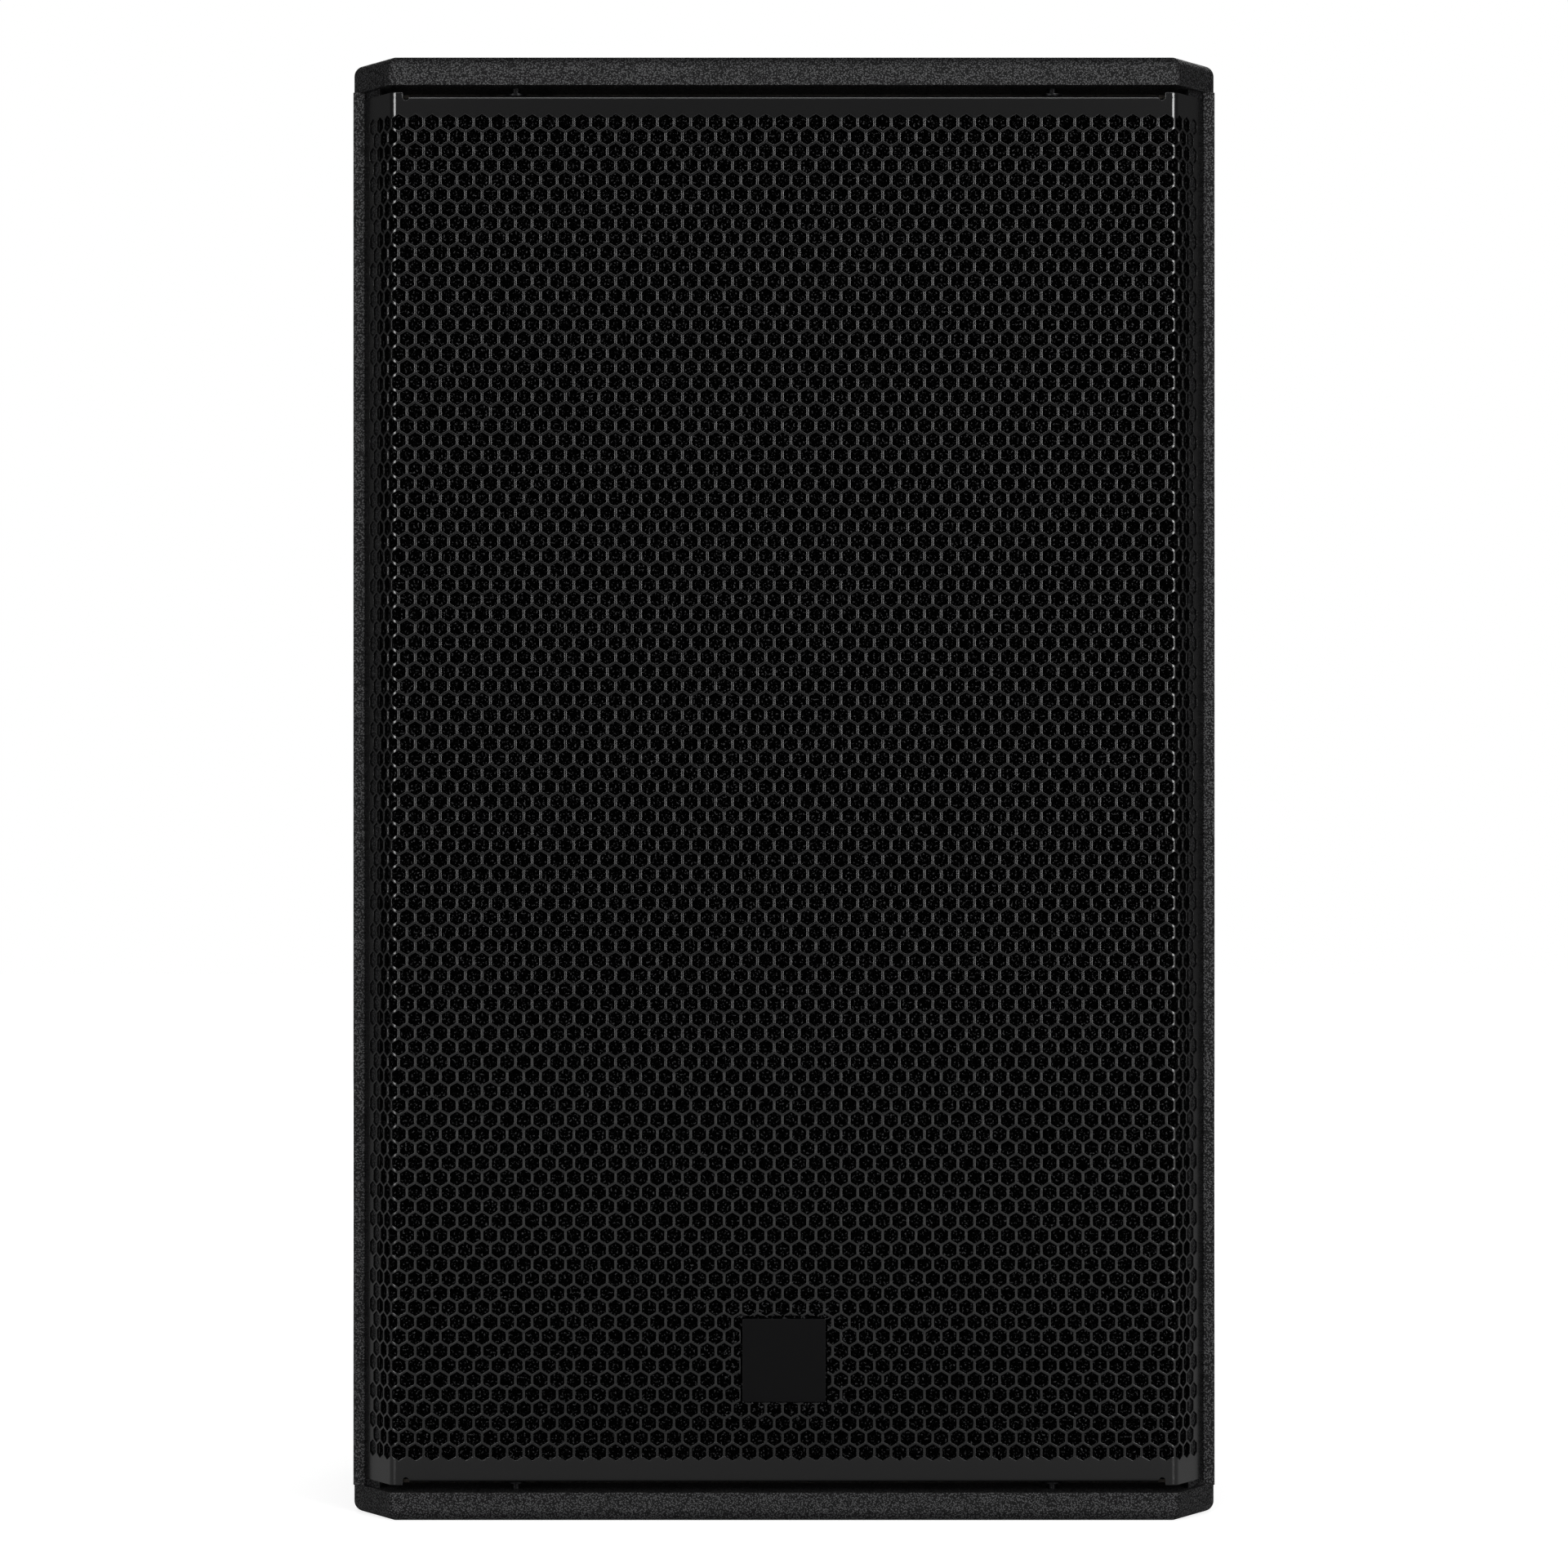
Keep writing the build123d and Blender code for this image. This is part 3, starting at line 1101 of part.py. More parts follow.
with BuildPart() as amp_panel:
    with BuildSketch(facing_rear(BACK, 0, AMP_Z)):
        RectangleRounded(AMP_WIDTH, AMP_HEIGHT, AMP_CORNER)
    extrude(amount=-AMP_FLANGE)
    with BuildSketch(facing_rear(BACK, 0, AMP_Z)):
        RectangleRounded(
            POCKET_WIDTH + 2 * AMP_SHEET, POCKET_HEIGHT + 2 * AMP_SHEET, AMP_CORNER + AMP_SHEET
        )
    extrude(amount=-(POCKET + AMP_SHEET))
    with BuildSketch(facing_rear(BACK, 0, AMP_Z)):
        RectangleRounded(POCKET_WIDTH, POCKET_HEIGHT, AMP_CORNER)
    extrude(amount=-POCKET, mode=Mode.SUBTRACT)
    with BuildSketch(on_panel(0, 0)):
        with Locations((-KNOB_X, KNOB_RISE)):
            Circle(BUSH_R + CUT_CLEAR)
        with Locations((-PRESET_X, PRESET_RISE)):
            Circle(PRESET_R + FREE_GAP)
        with Locations((-LED_X, LED_RISE)):
            with GridLocations(LED_PITCH, LED_PITCH, 3, 1):
                Circle(LED_R + HOLE_CLEAR)
        with Locations((-INPUT_X, SOCKET_RISE), (-OUTPUT_X, SOCKET_RISE)):
            Circle(SOCKET_R + CUT_CLEAR)
        with Locations((-INPUT_X, SOCKET_RISE + LATCH_RISE)):
            Rectangle(LATCH_WIDTH + 2 * LATCH_WALL, LATCH_HEIGHT + 2 * LATCH_WALL)
        with Locations((-INLET_X, SOCKET_RISE)):
            Rectangle(INLET_BODY_WIDTH + 2 * CUT_CLEAR, INLET_BODY_HEIGHT + 2 * CUT_CLEAR)
        with Locations((-SWITCH_X, SWITCH_RISE)):
            Rectangle(SWITCH_BODY_WIDTH + 2 * CUT_CLEAR, SWITCH_BODY_HEIGHT + 2 * CUT_CLEAR)
        with Locations((0, TOROID_RISE)):
            Circle(CLAMP_BOLT_R + HOLE_CLEAR)
    extrude(amount=-AMP_SHEET, mode=Mode.SUBTRACT)
    with BuildSketch(facing_rear(BACK, 0, AMP_Z)):
        with GridLocations(AMP_SCREW_SPAN, AMP_SCREW_PITCH, 2, AMP_SCREW_ROWS):
            Circle(AMP_SCREW_R + HOLE_CLEAR)
    extrude(amount=-AMP_FLANGE, mode=Mode.SUBTRACT)
    with BuildSketch(facing_rear(BACK, 0, AMP_Z)):
        with GridLocations(AMP_SCREW_SPAN, AMP_SCREW_PITCH, 2, AMP_SCREW_ROWS):
            Circle(AMP_SCREW_HEAD_R + HOLE_CLEAR)
    extrude(amount=AMP_SCREW_R - AMP_SCREW_HEAD_R, taper=COUNTERSINK, mode=Mode.SUBTRACT)
finish(amp_panel, "amp_panel")

amp_screw = screw(AMP_SCREW_R, AMP_SCREW_HEAD_R, 0, AMP_SCREW_LENGTH, countersunk=True)

with BuildPart() as amp_screws:
    with Locations(facing_rear(BACK, 0, AMP_Z)):
        with GridLocations(AMP_SCREW_SPAN, AMP_SCREW_PITCH, 2, AMP_SCREW_ROWS):
            add(amp_screw)
finish(amp_screws, "amp_screws")

with BuildPart() as heat_sink:
    with BuildSketch(on_panel(0, SINK_RISE)):
        RectangleRounded(SINK_WIDTH, SINK_HEIGHT, 2 * SINK_FIN_THICK)
    extrude(amount=SINK_BASE)
    with BuildSketch(on_panel(0, SINK_RISE, SINK_BASE)):
        with GridLocations((SINK_WIDTH - SINK_FIN_THICK) / (SINK_FINS - 1), SINK_HEIGHT, SINK_FINS, 1):
            Rectangle(SINK_FIN_THICK, SINK_HEIGHT - 4 * SINK_FIN_THICK)
    extrude(amount=SINK_FIN)
    with BuildSketch(on_panel(0, TOROID_RISE)):
        Circle(CLAMP_BOLT_R + HOLE_CLEAR)
    extrude(amount=SINK_BASE, mode=Mode.SUBTRACT)
finish(heat_sink, "heat_sink")

with BuildPart() as transformer:
    with BuildSketch(on_panel(0, TOROID_RISE, -AMP_SHEET)):
        Circle(TOROID_R)
        Circle(TOROID_BORE_R, mode=Mode.SUBTRACT)
    extrude(amount=-TOROID)
    fillet(transformer.edges().filter_by(GeomType.CIRCLE), radius=TOROID_ROUND)
finish(transformer, "transformer")

with BuildPart() as transformer_clamp:
    with BuildSketch(on_panel(0, TOROID_RISE, -AMP_SHEET - TOROID)):
        Circle(CLAMP_R)
    extrude(amount=-CLAMP)
    with BuildSketch(on_panel(0, TOROID_RISE, -AMP_SHEET - TOROID - CLAMP)):
        RegularPolygon(CLAMP_HEAD_R, 6)
    extrude(amount=-CLAMP_HEAD)
    with BuildSketch(on_panel(0, TOROID_RISE, SINK_BASE)):
        Circle(CLAMP_BOLT_R)
    extrude(amount=-(SINK_BASE + AMP_SHEET + TOROID))
finish(transformer_clamp, "transformer_clamp")

BOARD_FACE = -AMP_SHEET - BOARD_STANDOFF

with BuildPart() as board_standoffs:
    with BuildSketch(on_panel(0, BOARD_RISE, -AMP_SHEET)):
        with GridLocations(BOARD_WIDTH - 2 * STANDOFF_INSET, BOARD_HEIGHT - 2 * STANDOFF_INSET, 2, 2):
            RegularPolygon(STANDOFF_R, 6)
    extrude(amount=-BOARD_STANDOFF)
finish(board_standoffs, "board_standoffs")

with BuildPart() as amp_board:
    with BuildSketch(on_panel(0, BOARD_RISE, BOARD_FACE)):
        Rectangle(BOARD_WIDTH, BOARD_HEIGHT)
    extrude(amount=-BOARD)
    with BuildSketch(on_panel(0, BOARD_RISE, BOARD_FACE - BOARD)):
        with Locations((-BOARD_WIDTH / 4, 0)):
            with GridLocations(3 * CAPACITOR_R, 3 * CAPACITOR_R, 2, 2):
                Circle(CAPACITOR_R)
    extrude(amount=-CAPACITOR_LENGTH)
    with BuildSketch(on_panel(0, BOARD_RISE, BOARD_FACE - BOARD)):
        with Locations((BOARD_WIDTH / 4, 0)):
            with GridLocations(COIL_CORE_R, 3 * COIL_CORE_R, 1, 2):
                Circle(COIL_CORE_R)
                Circle(COIL_CORE_R / 2, mode=Mode.SUBTRACT)
    extrude(amount=-COIL_CORE_LENGTH)
finish(amp_board, "amp_board")

with BuildPart() as volume_pot:
    with BuildSketch(on_panel(KNOB_X, KNOB_RISE, -AMP_SHEET)):
        Rectangle(POT, POT)
    extrude(amount=-POT_DEPTH)
    with BuildSketch(on_panel(KNOB_X, KNOB_RISE, -AMP_SHEET)):
        Circle(BUSH_R)
    extrude(amount=AMP_SHEET + BUSH_OUT)
    with BuildSketch(on_panel(KNOB_X, KNOB_RISE, BUSH_OUT)):
        Circle(SHAFT_R + RUNNING)
    extrude(amount=-(BUSH_OUT + AMP_SHEET + POT_DEPTH / 2), mode=Mode.SUBTRACT)
finish(volume_pot, "volume_pot")

SHAFT_TOP = KNOB_STAND_OFF + KNOB_HEIGHT - SHAFT_R
SHAFT_END = AMP_SHEET + POT_DEPTH / 2 - FREE_GAP

with BuildPart() as volume_shaft:
    with BuildSketch(on_panel(KNOB_X, KNOB_RISE, -SHAFT_END)):
        Circle(SHAFT_R)
    extrude(amount=SHAFT_END + SHAFT_TOP)
    with BuildSketch(on_panel(KNOB_X, KNOB_RISE, SHAFT_TOP)):
        with Locations((0, -SHAFT_R)):
            Rectangle(2 * SHAFT_R, SHAFT_R)
    extrude(amount=-(SHAFT_TOP - BUSH_OUT - KNOB_STAND_OFF), mode=Mode.SUBTRACT)
finish(volume_shaft, "volume_shaft")

KNOB_SKIRT = BUSH_OUT + KNOB_STAND_OFF

with BuildPart() as volume_knob:
    with BuildSketch(on_panel(KNOB_X, KNOB_RISE, KNOB_STAND_OFF)):
        Circle(KNOB_R)
        with PolarLocations(KNOB_R, KNOB_FLUTES):
            Circle(KNOB_FLUTE_R, mode=Mode.SUBTRACT)
    extrude(amount=KNOB_HEIGHT)
    with BuildSketch(on_panel(KNOB_X, KNOB_RISE, KNOB_STAND_OFF + KNOB_HEIGHT)):
        with Locations((0, KNOB_R - KNOB_LINE / 2)):
            Rectangle(KNOB_FLUTE_R, KNOB_LINE)
    extrude(amount=-KNOB_FLUTE_R, mode=Mode.SUBTRACT)
    with BuildSketch(on_panel(KNOB_X, KNOB_RISE, KNOB_STAND_OFF)):
        Circle(BUSH_R + KNOB_STAND_OFF)
    extrude(amount=KNOB_SKIRT - KNOB_STAND_OFF, mode=Mode.SUBTRACT)
    with BuildSketch(on_panel(KNOB_X, KNOB_RISE, KNOB_SKIRT)):
        Circle(SHAFT_R)
        with Locations((0, -SHAFT_R)):
            Rectangle(2 * SHAFT_R, SHAFT_R, mode=Mode.SUBTRACT)
    extrude(amount=SHAFT_TOP - KNOB_SKIRT, mode=Mode.SUBTRACT)
finish(volume_knob, "volume_knob")

PRESET_INNER = AMP_SHEET + PRESET_BODY_DEPTH / 2 - PRESET_TRAVEL

with BuildPart() as preset_switch_body:
    with BuildSketch(on_panel(PRESET_X, PRESET_RISE, -AMP_SHEET)):
        Rectangle(PRESET_BODY, PRESET_BODY)
    extrude(amount=-PRESET_BODY_DEPTH)
    with BuildSketch(on_panel(PRESET_X, PRESET_RISE, -AMP_SHEET)):
        Circle(PRESET_R + RUNNING)
    extrude(amount=-(PRESET_BODY_DEPTH / 2 + FREE_GAP), mode=Mode.SUBTRACT)
finish(preset_switch_body, "preset_switch_body")

with BuildPart() as preset_button:
    with BuildSketch(on_panel(PRESET_X, PRESET_RISE, -PRESET_INNER)):
        Circle(PRESET_R)
    extrude(amount=PRESET_INNER + PRESET_OUT)
    fillet(preset_button.edges().group_by(Axis.Y)[-1], radius=PRESET_ROUND)
finish(preset_button, "preset_button")

with BuildPart() as status_leds:
    with BuildSketch(on_panel(LED_X, LED_RISE, -2 * AMP_SHEET)):
        with GridLocations(LED_PITCH, LED_PITCH, 3, 1):
            Circle(LED_R)
    extrude(amount=2 * AMP_SHEET + LED_OUT)
    fillet(status_leds.edges().group_by(Axis.Y)[-1], radius=LED_ROUND)
finish(status_leds, "status_leds")

LATCH_POCKET = LATCH_DEPTH + LATCH_TRAVEL + FREE_GAP

with BuildPart() as input_socket:
    with BuildSketch(on_panel(INPUT_X, SOCKET_RISE)):
        RectangleRounded(SOCKET_WIDTH, SOCKET_HEIGHT, SOCKET_FLANGE)
    extrude(amount=SOCKET_FLANGE)
    with BuildSketch(on_panel(INPUT_X, SOCKET_RISE, SOCKET_FLANGE)):
        Circle(SOCKET_RING_R)
    extrude(amount=SOCKET_RING)
    with BuildSketch(on_panel(INPUT_X, SOCKET_RISE)):
        Circle(SOCKET_R)
        with Locations((0, LATCH_RISE)):
            Rectangle(LATCH_WIDTH + 2 * LATCH_SOCKET_WALL, LATCH_HEIGHT + 2 * LATCH_SOCKET_WALL)
    extrude(amount=-SOCKET_DEPTH)
    with BuildSketch(on_panel(INPUT_X, SOCKET_RISE, SOCKET_FLANGE + SOCKET_RING)):
        Circle(JACK_R)
        with PolarLocations(CONTACT_CIRCLE_R, 3, start_angle=-30):
            Circle(CONTACT_HOLE_R)
    extrude(amount=-(CUP_DEPTH + SOCKET_RING), mode=Mode.SUBTRACT)
    with BuildSketch(on_panel(INPUT_X, SOCKET_RISE, SOCKET_FLANGE)):
        with Locations((0, LATCH_RISE)):
            Rectangle(LATCH_WIDTH + 2 * RUNNING, LATCH_HEIGHT + 2 * RUNNING)
    extrude(amount=-(SOCKET_FLANGE + LATCH_POCKET), mode=Mode.SUBTRACT)
finish(input_socket, "input_socket")

with BuildPart() as input_latch:
    with BuildSketch(on_panel(INPUT_X, SOCKET_RISE + LATCH_RISE, -LATCH_DEPTH)):
        Rectangle(LATCH_WIDTH, LATCH_HEIGHT)
    extrude(amount=LATCH_DEPTH + SOCKET_FLANGE + LATCH_OUT)
    fillet(input_latch.edges().group_by(Axis.Y)[-1], radius=LATCH_ROUND)
finish(input_latch, "input_latch")

with BuildPart() as output_socket:
    with BuildSketch(on_panel(OUTPUT_X, SOCKET_RISE)):
        RectangleRounded(SOCKET_WIDTH, SOCKET_HEIGHT, SOCKET_FLANGE)
    extrude(amount=SOCKET_FLANGE)
    with BuildSketch(on_panel(OUTPUT_X, SOCKET_RISE)):
        Circle(SOCKET_R)
    extrude(amount=-SOCKET_DEPTH)
    with BuildSketch(on_panel(OUTPUT_X, SOCKET_RISE, SOCKET_FLANGE)):
        Circle(CUP_R)
    extrude(amount=-CUP_DEPTH, mode=Mode.SUBTRACT)
    with BuildSketch(on_panel(OUTPUT_X, SOCKET_RISE, SOCKET_FLANGE - CUP_DEPTH)):
        with PolarLocations(PIN_CIRCLE_R, 3, start_angle=-30):
            Circle(PIN_R)
    extrude(amount=PIN_LENGTH)
finish(output_socket, "output_socket")

with BuildPart() as power_inlet:
    with BuildSketch(on_panel(INLET_X, SOCKET_RISE)):
        RectangleRounded(INLET_WIDTH, INLET_HEIGHT, INLET_BEZEL)
    extrude(amount=INLET_BEZEL)
    with BuildSketch(on_panel(INLET_X, SOCKET_RISE)):
        Rectangle(INLET_BODY_WIDTH, INLET_BODY_HEIGHT)
    extrude(amount=-INLET_DEPTH)
    with BuildSketch(on_panel(INLET_X, SOCKET_RISE, INLET_BEZEL)) as cavity:
        Rectangle(INLET_CAVITY_WIDTH, INLET_CAVITY_HEIGHT)
        chamfer(cavity.vertices().group_by(Axis.Y)[-1], length=INLET_CAVITY_CUT)
    extrude(amount=-INLET_CAVITY_DEPTH, mode=Mode.SUBTRACT)
    with BuildSketch(on_panel(INLET_X, SOCKET_RISE, INLET_BEZEL - INLET_CAVITY_DEPTH)):
        with Locations((-BLADE_PITCH, -BLADE_WIDTH), (0, BLADE_WIDTH), (BLADE_PITCH, -BLADE_WIDTH)):
            Rectangle(BLADE_WIDTH, BLADE_HEIGHT)
    extrude(amount=BLADE_LENGTH)
finish(power_inlet, "power_inlet")

PIVOT = (SWITCH_X, PANEL_Y - ROCKER_PIVOT_IN, AMP_Z + SWITCH_RISE)
ROCKER_SLOT_HALF = sqrt(ROCKER_HALF**2 + ROCKER_END**2) * cos(
    atan2(ROCKER_END, ROCKER_HALF) - radians(ROCKER_TILT)
)

with BuildPart() as power_switch_frame:
    with BuildSketch(on_panel(SWITCH_X, SWITCH_RISE)):
        RectangleRounded(SWITCH_WIDTH, SWITCH_HEIGHT, SWITCH_BEZEL)
    extrude(amount=SWITCH_BEZEL)
    with BuildSketch(on_panel(SWITCH_X, SWITCH_RISE)):
        Rectangle(SWITCH_BODY_WIDTH, SWITCH_BODY_HEIGHT)
    extrude(amount=-SWITCH_DEPTH)
    with BuildSketch(on_panel(SWITCH_X, SWITCH_RISE, SWITCH_BEZEL)):
        Rectangle(ROCKER_WIDTH + 2 * FREE_GAP, 2 * (ROCKER_SLOT_HALF + FREE_GAP))
    extrude(amount=-(SWITCH_BEZEL + SWITCH_DEPTH - SWITCH_WALL), mode=Mode.SUBTRACT)
    with BuildSketch(Plane(origin=PIVOT, x_dir=(0, 1, 0), z_dir=(1, 0, 0))):
        Circle(ROCKER_PIN_R + RUNNING)
    extrude(amount=ROCKER_WIDTH / 2 + ROCKER_PIN_OUT + FREE_GAP, both=True, mode=Mode.SUBTRACT)
finish(power_switch_frame, "power_switch_frame")

TILT = radians(ROCKER_TILT)

with BuildPart() as power_rocker:
    with BuildSketch(Plane(origin=PIVOT, x_dir=(0, cos(TILT), -sin(TILT)), z_dir=(1, 0, 0))):
        with BuildLine():
            Polyline(
                (ROCKER_CREST, 0),
                (ROCKER_END, ROCKER_HALF),
                (-ROCKER_TAIL, ROCKER_TAIL_HALF),
                (-ROCKER_TAIL, -ROCKER_TAIL_HALF),
                (ROCKER_END, -ROCKER_HALF),
                close=True,
            )
        make_face()
    extrude(amount=ROCKER_WIDTH / 2, both=True)
    with BuildSketch(Plane(origin=PIVOT, x_dir=(0, 1, 0), z_dir=(1, 0, 0))):
        Circle(ROCKER_PIN_R)
    extrude(amount=ROCKER_WIDTH / 2 + ROCKER_PIN_OUT, both=True)
finish(power_rocker, "power_rocker")

# ---------------------------------------------------------------- handles

for side, hand in ((-1, "left"), (1, "right")):
    with BuildPart() as handle_cup:
        with BuildSketch(facing_side(side, HANDLE_Y, HANDLE_Z, HANDLE_SINK)):
            RectangleRounded(HANDLE_LENGTH, HANDLE_HEIGHT, HANDLE_CORNER)
        extrude(amount=-HANDLE_FLANGE)
        with BuildSketch(facing_side(side, HANDLE_Y, HANDLE_Z, HANDLE_SINK)):
            RectangleRounded(
                HANDLE_CUP_LENGTH + 2 * HANDLE_WALL,
                HANDLE_CUP_HEIGHT + 2 * HANDLE_WALL,
                HANDLE_CORNER + HANDLE_WALL,
            )
        extrude(amount=-(HANDLE_CUP + HANDLE_WALL))
        with BuildSketch(facing_side(side, HANDLE_Y, HANDLE_Z, HANDLE_SINK)):
            RectangleRounded(HANDLE_CUP_LENGTH, HANDLE_CUP_HEIGHT, HANDLE_CORNER)
        extrude(amount=-HANDLE_CUP, mode=Mode.SUBTRACT)
        with BuildSketch(facing_side(side, HANDLE_Y, HANDLE_Z, HANDLE_SINK)):
            with Locations(*HANDLE_SCREW_PLACES):
                Circle(HANDLE_SCREW_HEAD_R + HOLE_CLEAR)
        extrude(amount=-HANDLE_FLANGE, taper=HANDLE_SINK_TAPER, mode=Mode.SUBTRACT)
    finish(handle_cup, f"{hand}_handle_cup")

GRIP_X = SIDE - HANDLE_SINK - GRIP_SINK - GRIP_THICK / 2

with BuildPart() as handle_grips:
    for side in (-1, 1):
        with BuildSketch(
            Plane(origin=(side * GRIP_X, HANDLE_Y, HANDLE_Z + GRIP_RISE), x_dir=(1, 0, 0), z_dir=(0, -1, 0))
        ):
            RectangleRounded(GRIP_THICK, GRIP_WIDTH, GRIP_ROUND)
        extrude(amount=HANDLE_CUP_LENGTH / 2, both=True)
finish(handle_grips, "handle_grips")

handle_screw = screw(
    HANDLE_SCREW_R, HANDLE_SCREW_HEAD_R, 0, HANDLE_SCREW_LENGTH, countersunk=True
)

with BuildPart() as handle_screws:
    for side in (-1, 1):
        with Locations(facing_side(side, HANDLE_Y, HANDLE_Z, HANDLE_SINK)):
            with Locations(*HANDLE_SCREW_PLACES):
                add(handle_screw)
finish(handle_screws, "handle_screws")

# ---------------------------------------------------------------- pole socket and rigging

with BuildPart() as pole_socket:
    with BuildSketch(Plane.XY.offset(POLE_SINK)):
        Circle(POLE_FLANGE_R)
    extrude(amount=POLE_FLANGE)
    with BuildSketch(Plane.XY.offset(POLE_SINK)):
        Circle(POLE_R + POLE_WALL)
    extrude(amount=POLE_LENGTH + POLE_END)
    with BuildSketch(Plane.XY.offset(POLE_SINK)):
        Circle(POLE_R)
    extrude(amount=POLE_LENGTH, mode=Mode.SUBTRACT)
    with BuildSketch(Plane.XY.offset(POLE_SINK)):
        with PolarLocations(POLE_SCREW_CIRCLE_R, POLE_SCREWS, start_angle=45):
            Circle(POLE_SCREW_HEAD_R + HOLE_CLEAR)
    extrude(amount=POLE_FLANGE, taper=POLE_SCREW_TAPER, mode=Mode.SUBTRACT)
finish(pole_socket, "pole_socket")

pole_screw = screw(POLE_SCREW_R, POLE_SCREW_HEAD_R, 0, POLE_SCREW_LENGTH, countersunk=True)

with BuildPart() as pole_socket_screws:
    with Locations(Location((0, 0, POLE_SINK), (180, 0, 0))):
        with PolarLocations(POLE_SCREW_CIRCLE_R, POLE_SCREWS, start_angle=45):
            add(pole_screw)
finish(pole_socket_screws, "pole_socket_screws")

with BuildPart() as insert:
    Cylinder(INSERT_R, INSERT_LENGTH, align=(Align.CENTER, Align.CENTER, Align.MAX))
    with Locations((0, 0, -PLY)):
        Cylinder(INSERT_FLANGE_R, INSERT_FLANGE, align=(Align.CENTER, Align.CENTER, Align.MAX))
    Cylinder(THREAD_R, INSERT_LENGTH, align=(Align.CENTER, Align.CENTER, Align.MAX), mode=Mode.SUBTRACT)

with BuildPart() as rigging_inserts:
    with Locations(*[(x, y, HEIGHT) for x, y in TOP_RIGGING]):
        add(insert.part)
    with Locations(*[Location((x, y, 0), (180, 0, 0)) for x, y in BOTTOM_RIGGING]):
        add(insert.part)
    with Locations(facing_rear(BACK, 0, REAR_RIGGING_Z)):
        add(insert.part)
finish(rigging_inserts, "rigging_inserts")

# ---------------------------------------------------------------- acoustic wadding

SIDE_PAD_FROM = BAFFLE_BACK + WADDING_INSET
SIDE_PAD_TO = TAPER_INSIDE - WADDING_INSET
SIDE_PAD_LOW = PLY + WADDING_INSET
SIDE_PAD_HIGH = PORT_Z - PORT_OUTER_R - WADDING_INSET
TOP_PAD_HALF = RIGGING_X - INSERT_FLANGE_R - WADDING_INSET

with BuildPart() as acoustic_wadding:
    for side in (-1, 1):
        with BuildSketch(facing_side(side, FRONT, 0, PLY + SEAT_GAP)):
            with Locations((side * (SIDE_PAD_FROM + SIDE_PAD_TO) / 2, (SIDE_PAD_LOW + SIDE_PAD_HIGH) / 2)):
                Rectangle(SIDE_PAD_TO - SIDE_PAD_FROM, SIDE_PAD_HIGH - SIDE_PAD_LOW)
        extrude(amount=-WADDING)
    with BuildSketch(Plane.XY.offset(HEIGHT - PLY - SEAT_GAP)):
        with Locations((0, FRONT + (SIDE_PAD_FROM + SHELF_END) / 2)):
            Rectangle(2 * TOP_PAD_HALF, SHELF_END - SIDE_PAD_FROM)
    extrude(amount=-WADDING)
finish(acoustic_wadding, "acoustic_wadding")
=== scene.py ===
"""A powered two-way loudspeaker in a plywood cabinet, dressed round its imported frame.

The front faces -Y, up is +Z and x runs to the right of someone who looks at the grille. Sizes in
the classes are in millimetres, and meshes are written in metres.
"""

import json
import logging
from dataclasses import dataclass
from enum import Enum
from functools import cache
from math import cos, hypot, pi, radians, sin, sqrt
from typing import Any, Iterable, Sequence

import bmesh
import bpy
from mathutils import Matrix, Vector
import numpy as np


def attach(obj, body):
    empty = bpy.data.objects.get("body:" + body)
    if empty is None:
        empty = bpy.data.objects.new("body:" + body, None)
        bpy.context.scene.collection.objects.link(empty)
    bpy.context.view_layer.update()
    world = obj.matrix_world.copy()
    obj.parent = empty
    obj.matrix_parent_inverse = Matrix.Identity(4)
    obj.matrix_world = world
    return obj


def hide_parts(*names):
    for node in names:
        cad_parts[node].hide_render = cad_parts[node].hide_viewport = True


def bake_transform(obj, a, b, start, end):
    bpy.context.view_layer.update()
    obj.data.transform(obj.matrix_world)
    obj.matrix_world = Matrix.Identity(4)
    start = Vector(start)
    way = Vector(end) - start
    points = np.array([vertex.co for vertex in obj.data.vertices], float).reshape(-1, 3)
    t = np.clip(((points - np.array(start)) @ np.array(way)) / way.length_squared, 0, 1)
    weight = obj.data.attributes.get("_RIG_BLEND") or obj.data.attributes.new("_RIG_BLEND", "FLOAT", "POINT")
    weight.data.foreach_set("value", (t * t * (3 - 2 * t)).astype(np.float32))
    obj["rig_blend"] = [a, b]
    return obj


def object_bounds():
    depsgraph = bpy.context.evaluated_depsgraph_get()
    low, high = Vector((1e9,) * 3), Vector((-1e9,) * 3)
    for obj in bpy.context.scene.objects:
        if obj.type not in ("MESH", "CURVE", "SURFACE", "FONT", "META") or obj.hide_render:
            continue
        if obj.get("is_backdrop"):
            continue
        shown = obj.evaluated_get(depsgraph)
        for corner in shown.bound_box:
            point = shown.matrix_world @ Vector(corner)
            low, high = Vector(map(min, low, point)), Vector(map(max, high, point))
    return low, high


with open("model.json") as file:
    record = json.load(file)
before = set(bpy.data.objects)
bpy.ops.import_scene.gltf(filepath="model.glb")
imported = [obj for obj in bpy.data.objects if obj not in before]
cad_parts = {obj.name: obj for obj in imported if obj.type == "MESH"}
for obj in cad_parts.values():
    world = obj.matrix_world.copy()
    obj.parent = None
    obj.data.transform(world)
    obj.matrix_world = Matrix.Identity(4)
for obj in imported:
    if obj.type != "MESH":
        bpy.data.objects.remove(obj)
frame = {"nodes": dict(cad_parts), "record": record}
CAD_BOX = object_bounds()

MM = 0.001
SEED = 7
logging.basicConfig(level=logging.INFO, format="%(message)s")
log = logging.getLogger("loudspeaker")

Pair = tuple[float, float]
Point = tuple[float, float, float]
Seat = tuple[Point, Point]
Build = bmesh.types.BMesh
Mesh, Node, Object = bpy.types.Mesh, bpy.types.Node, bpy.types.Object
Socket, Tree = bpy.types.NodeSocket, bpy.types.NodeTree

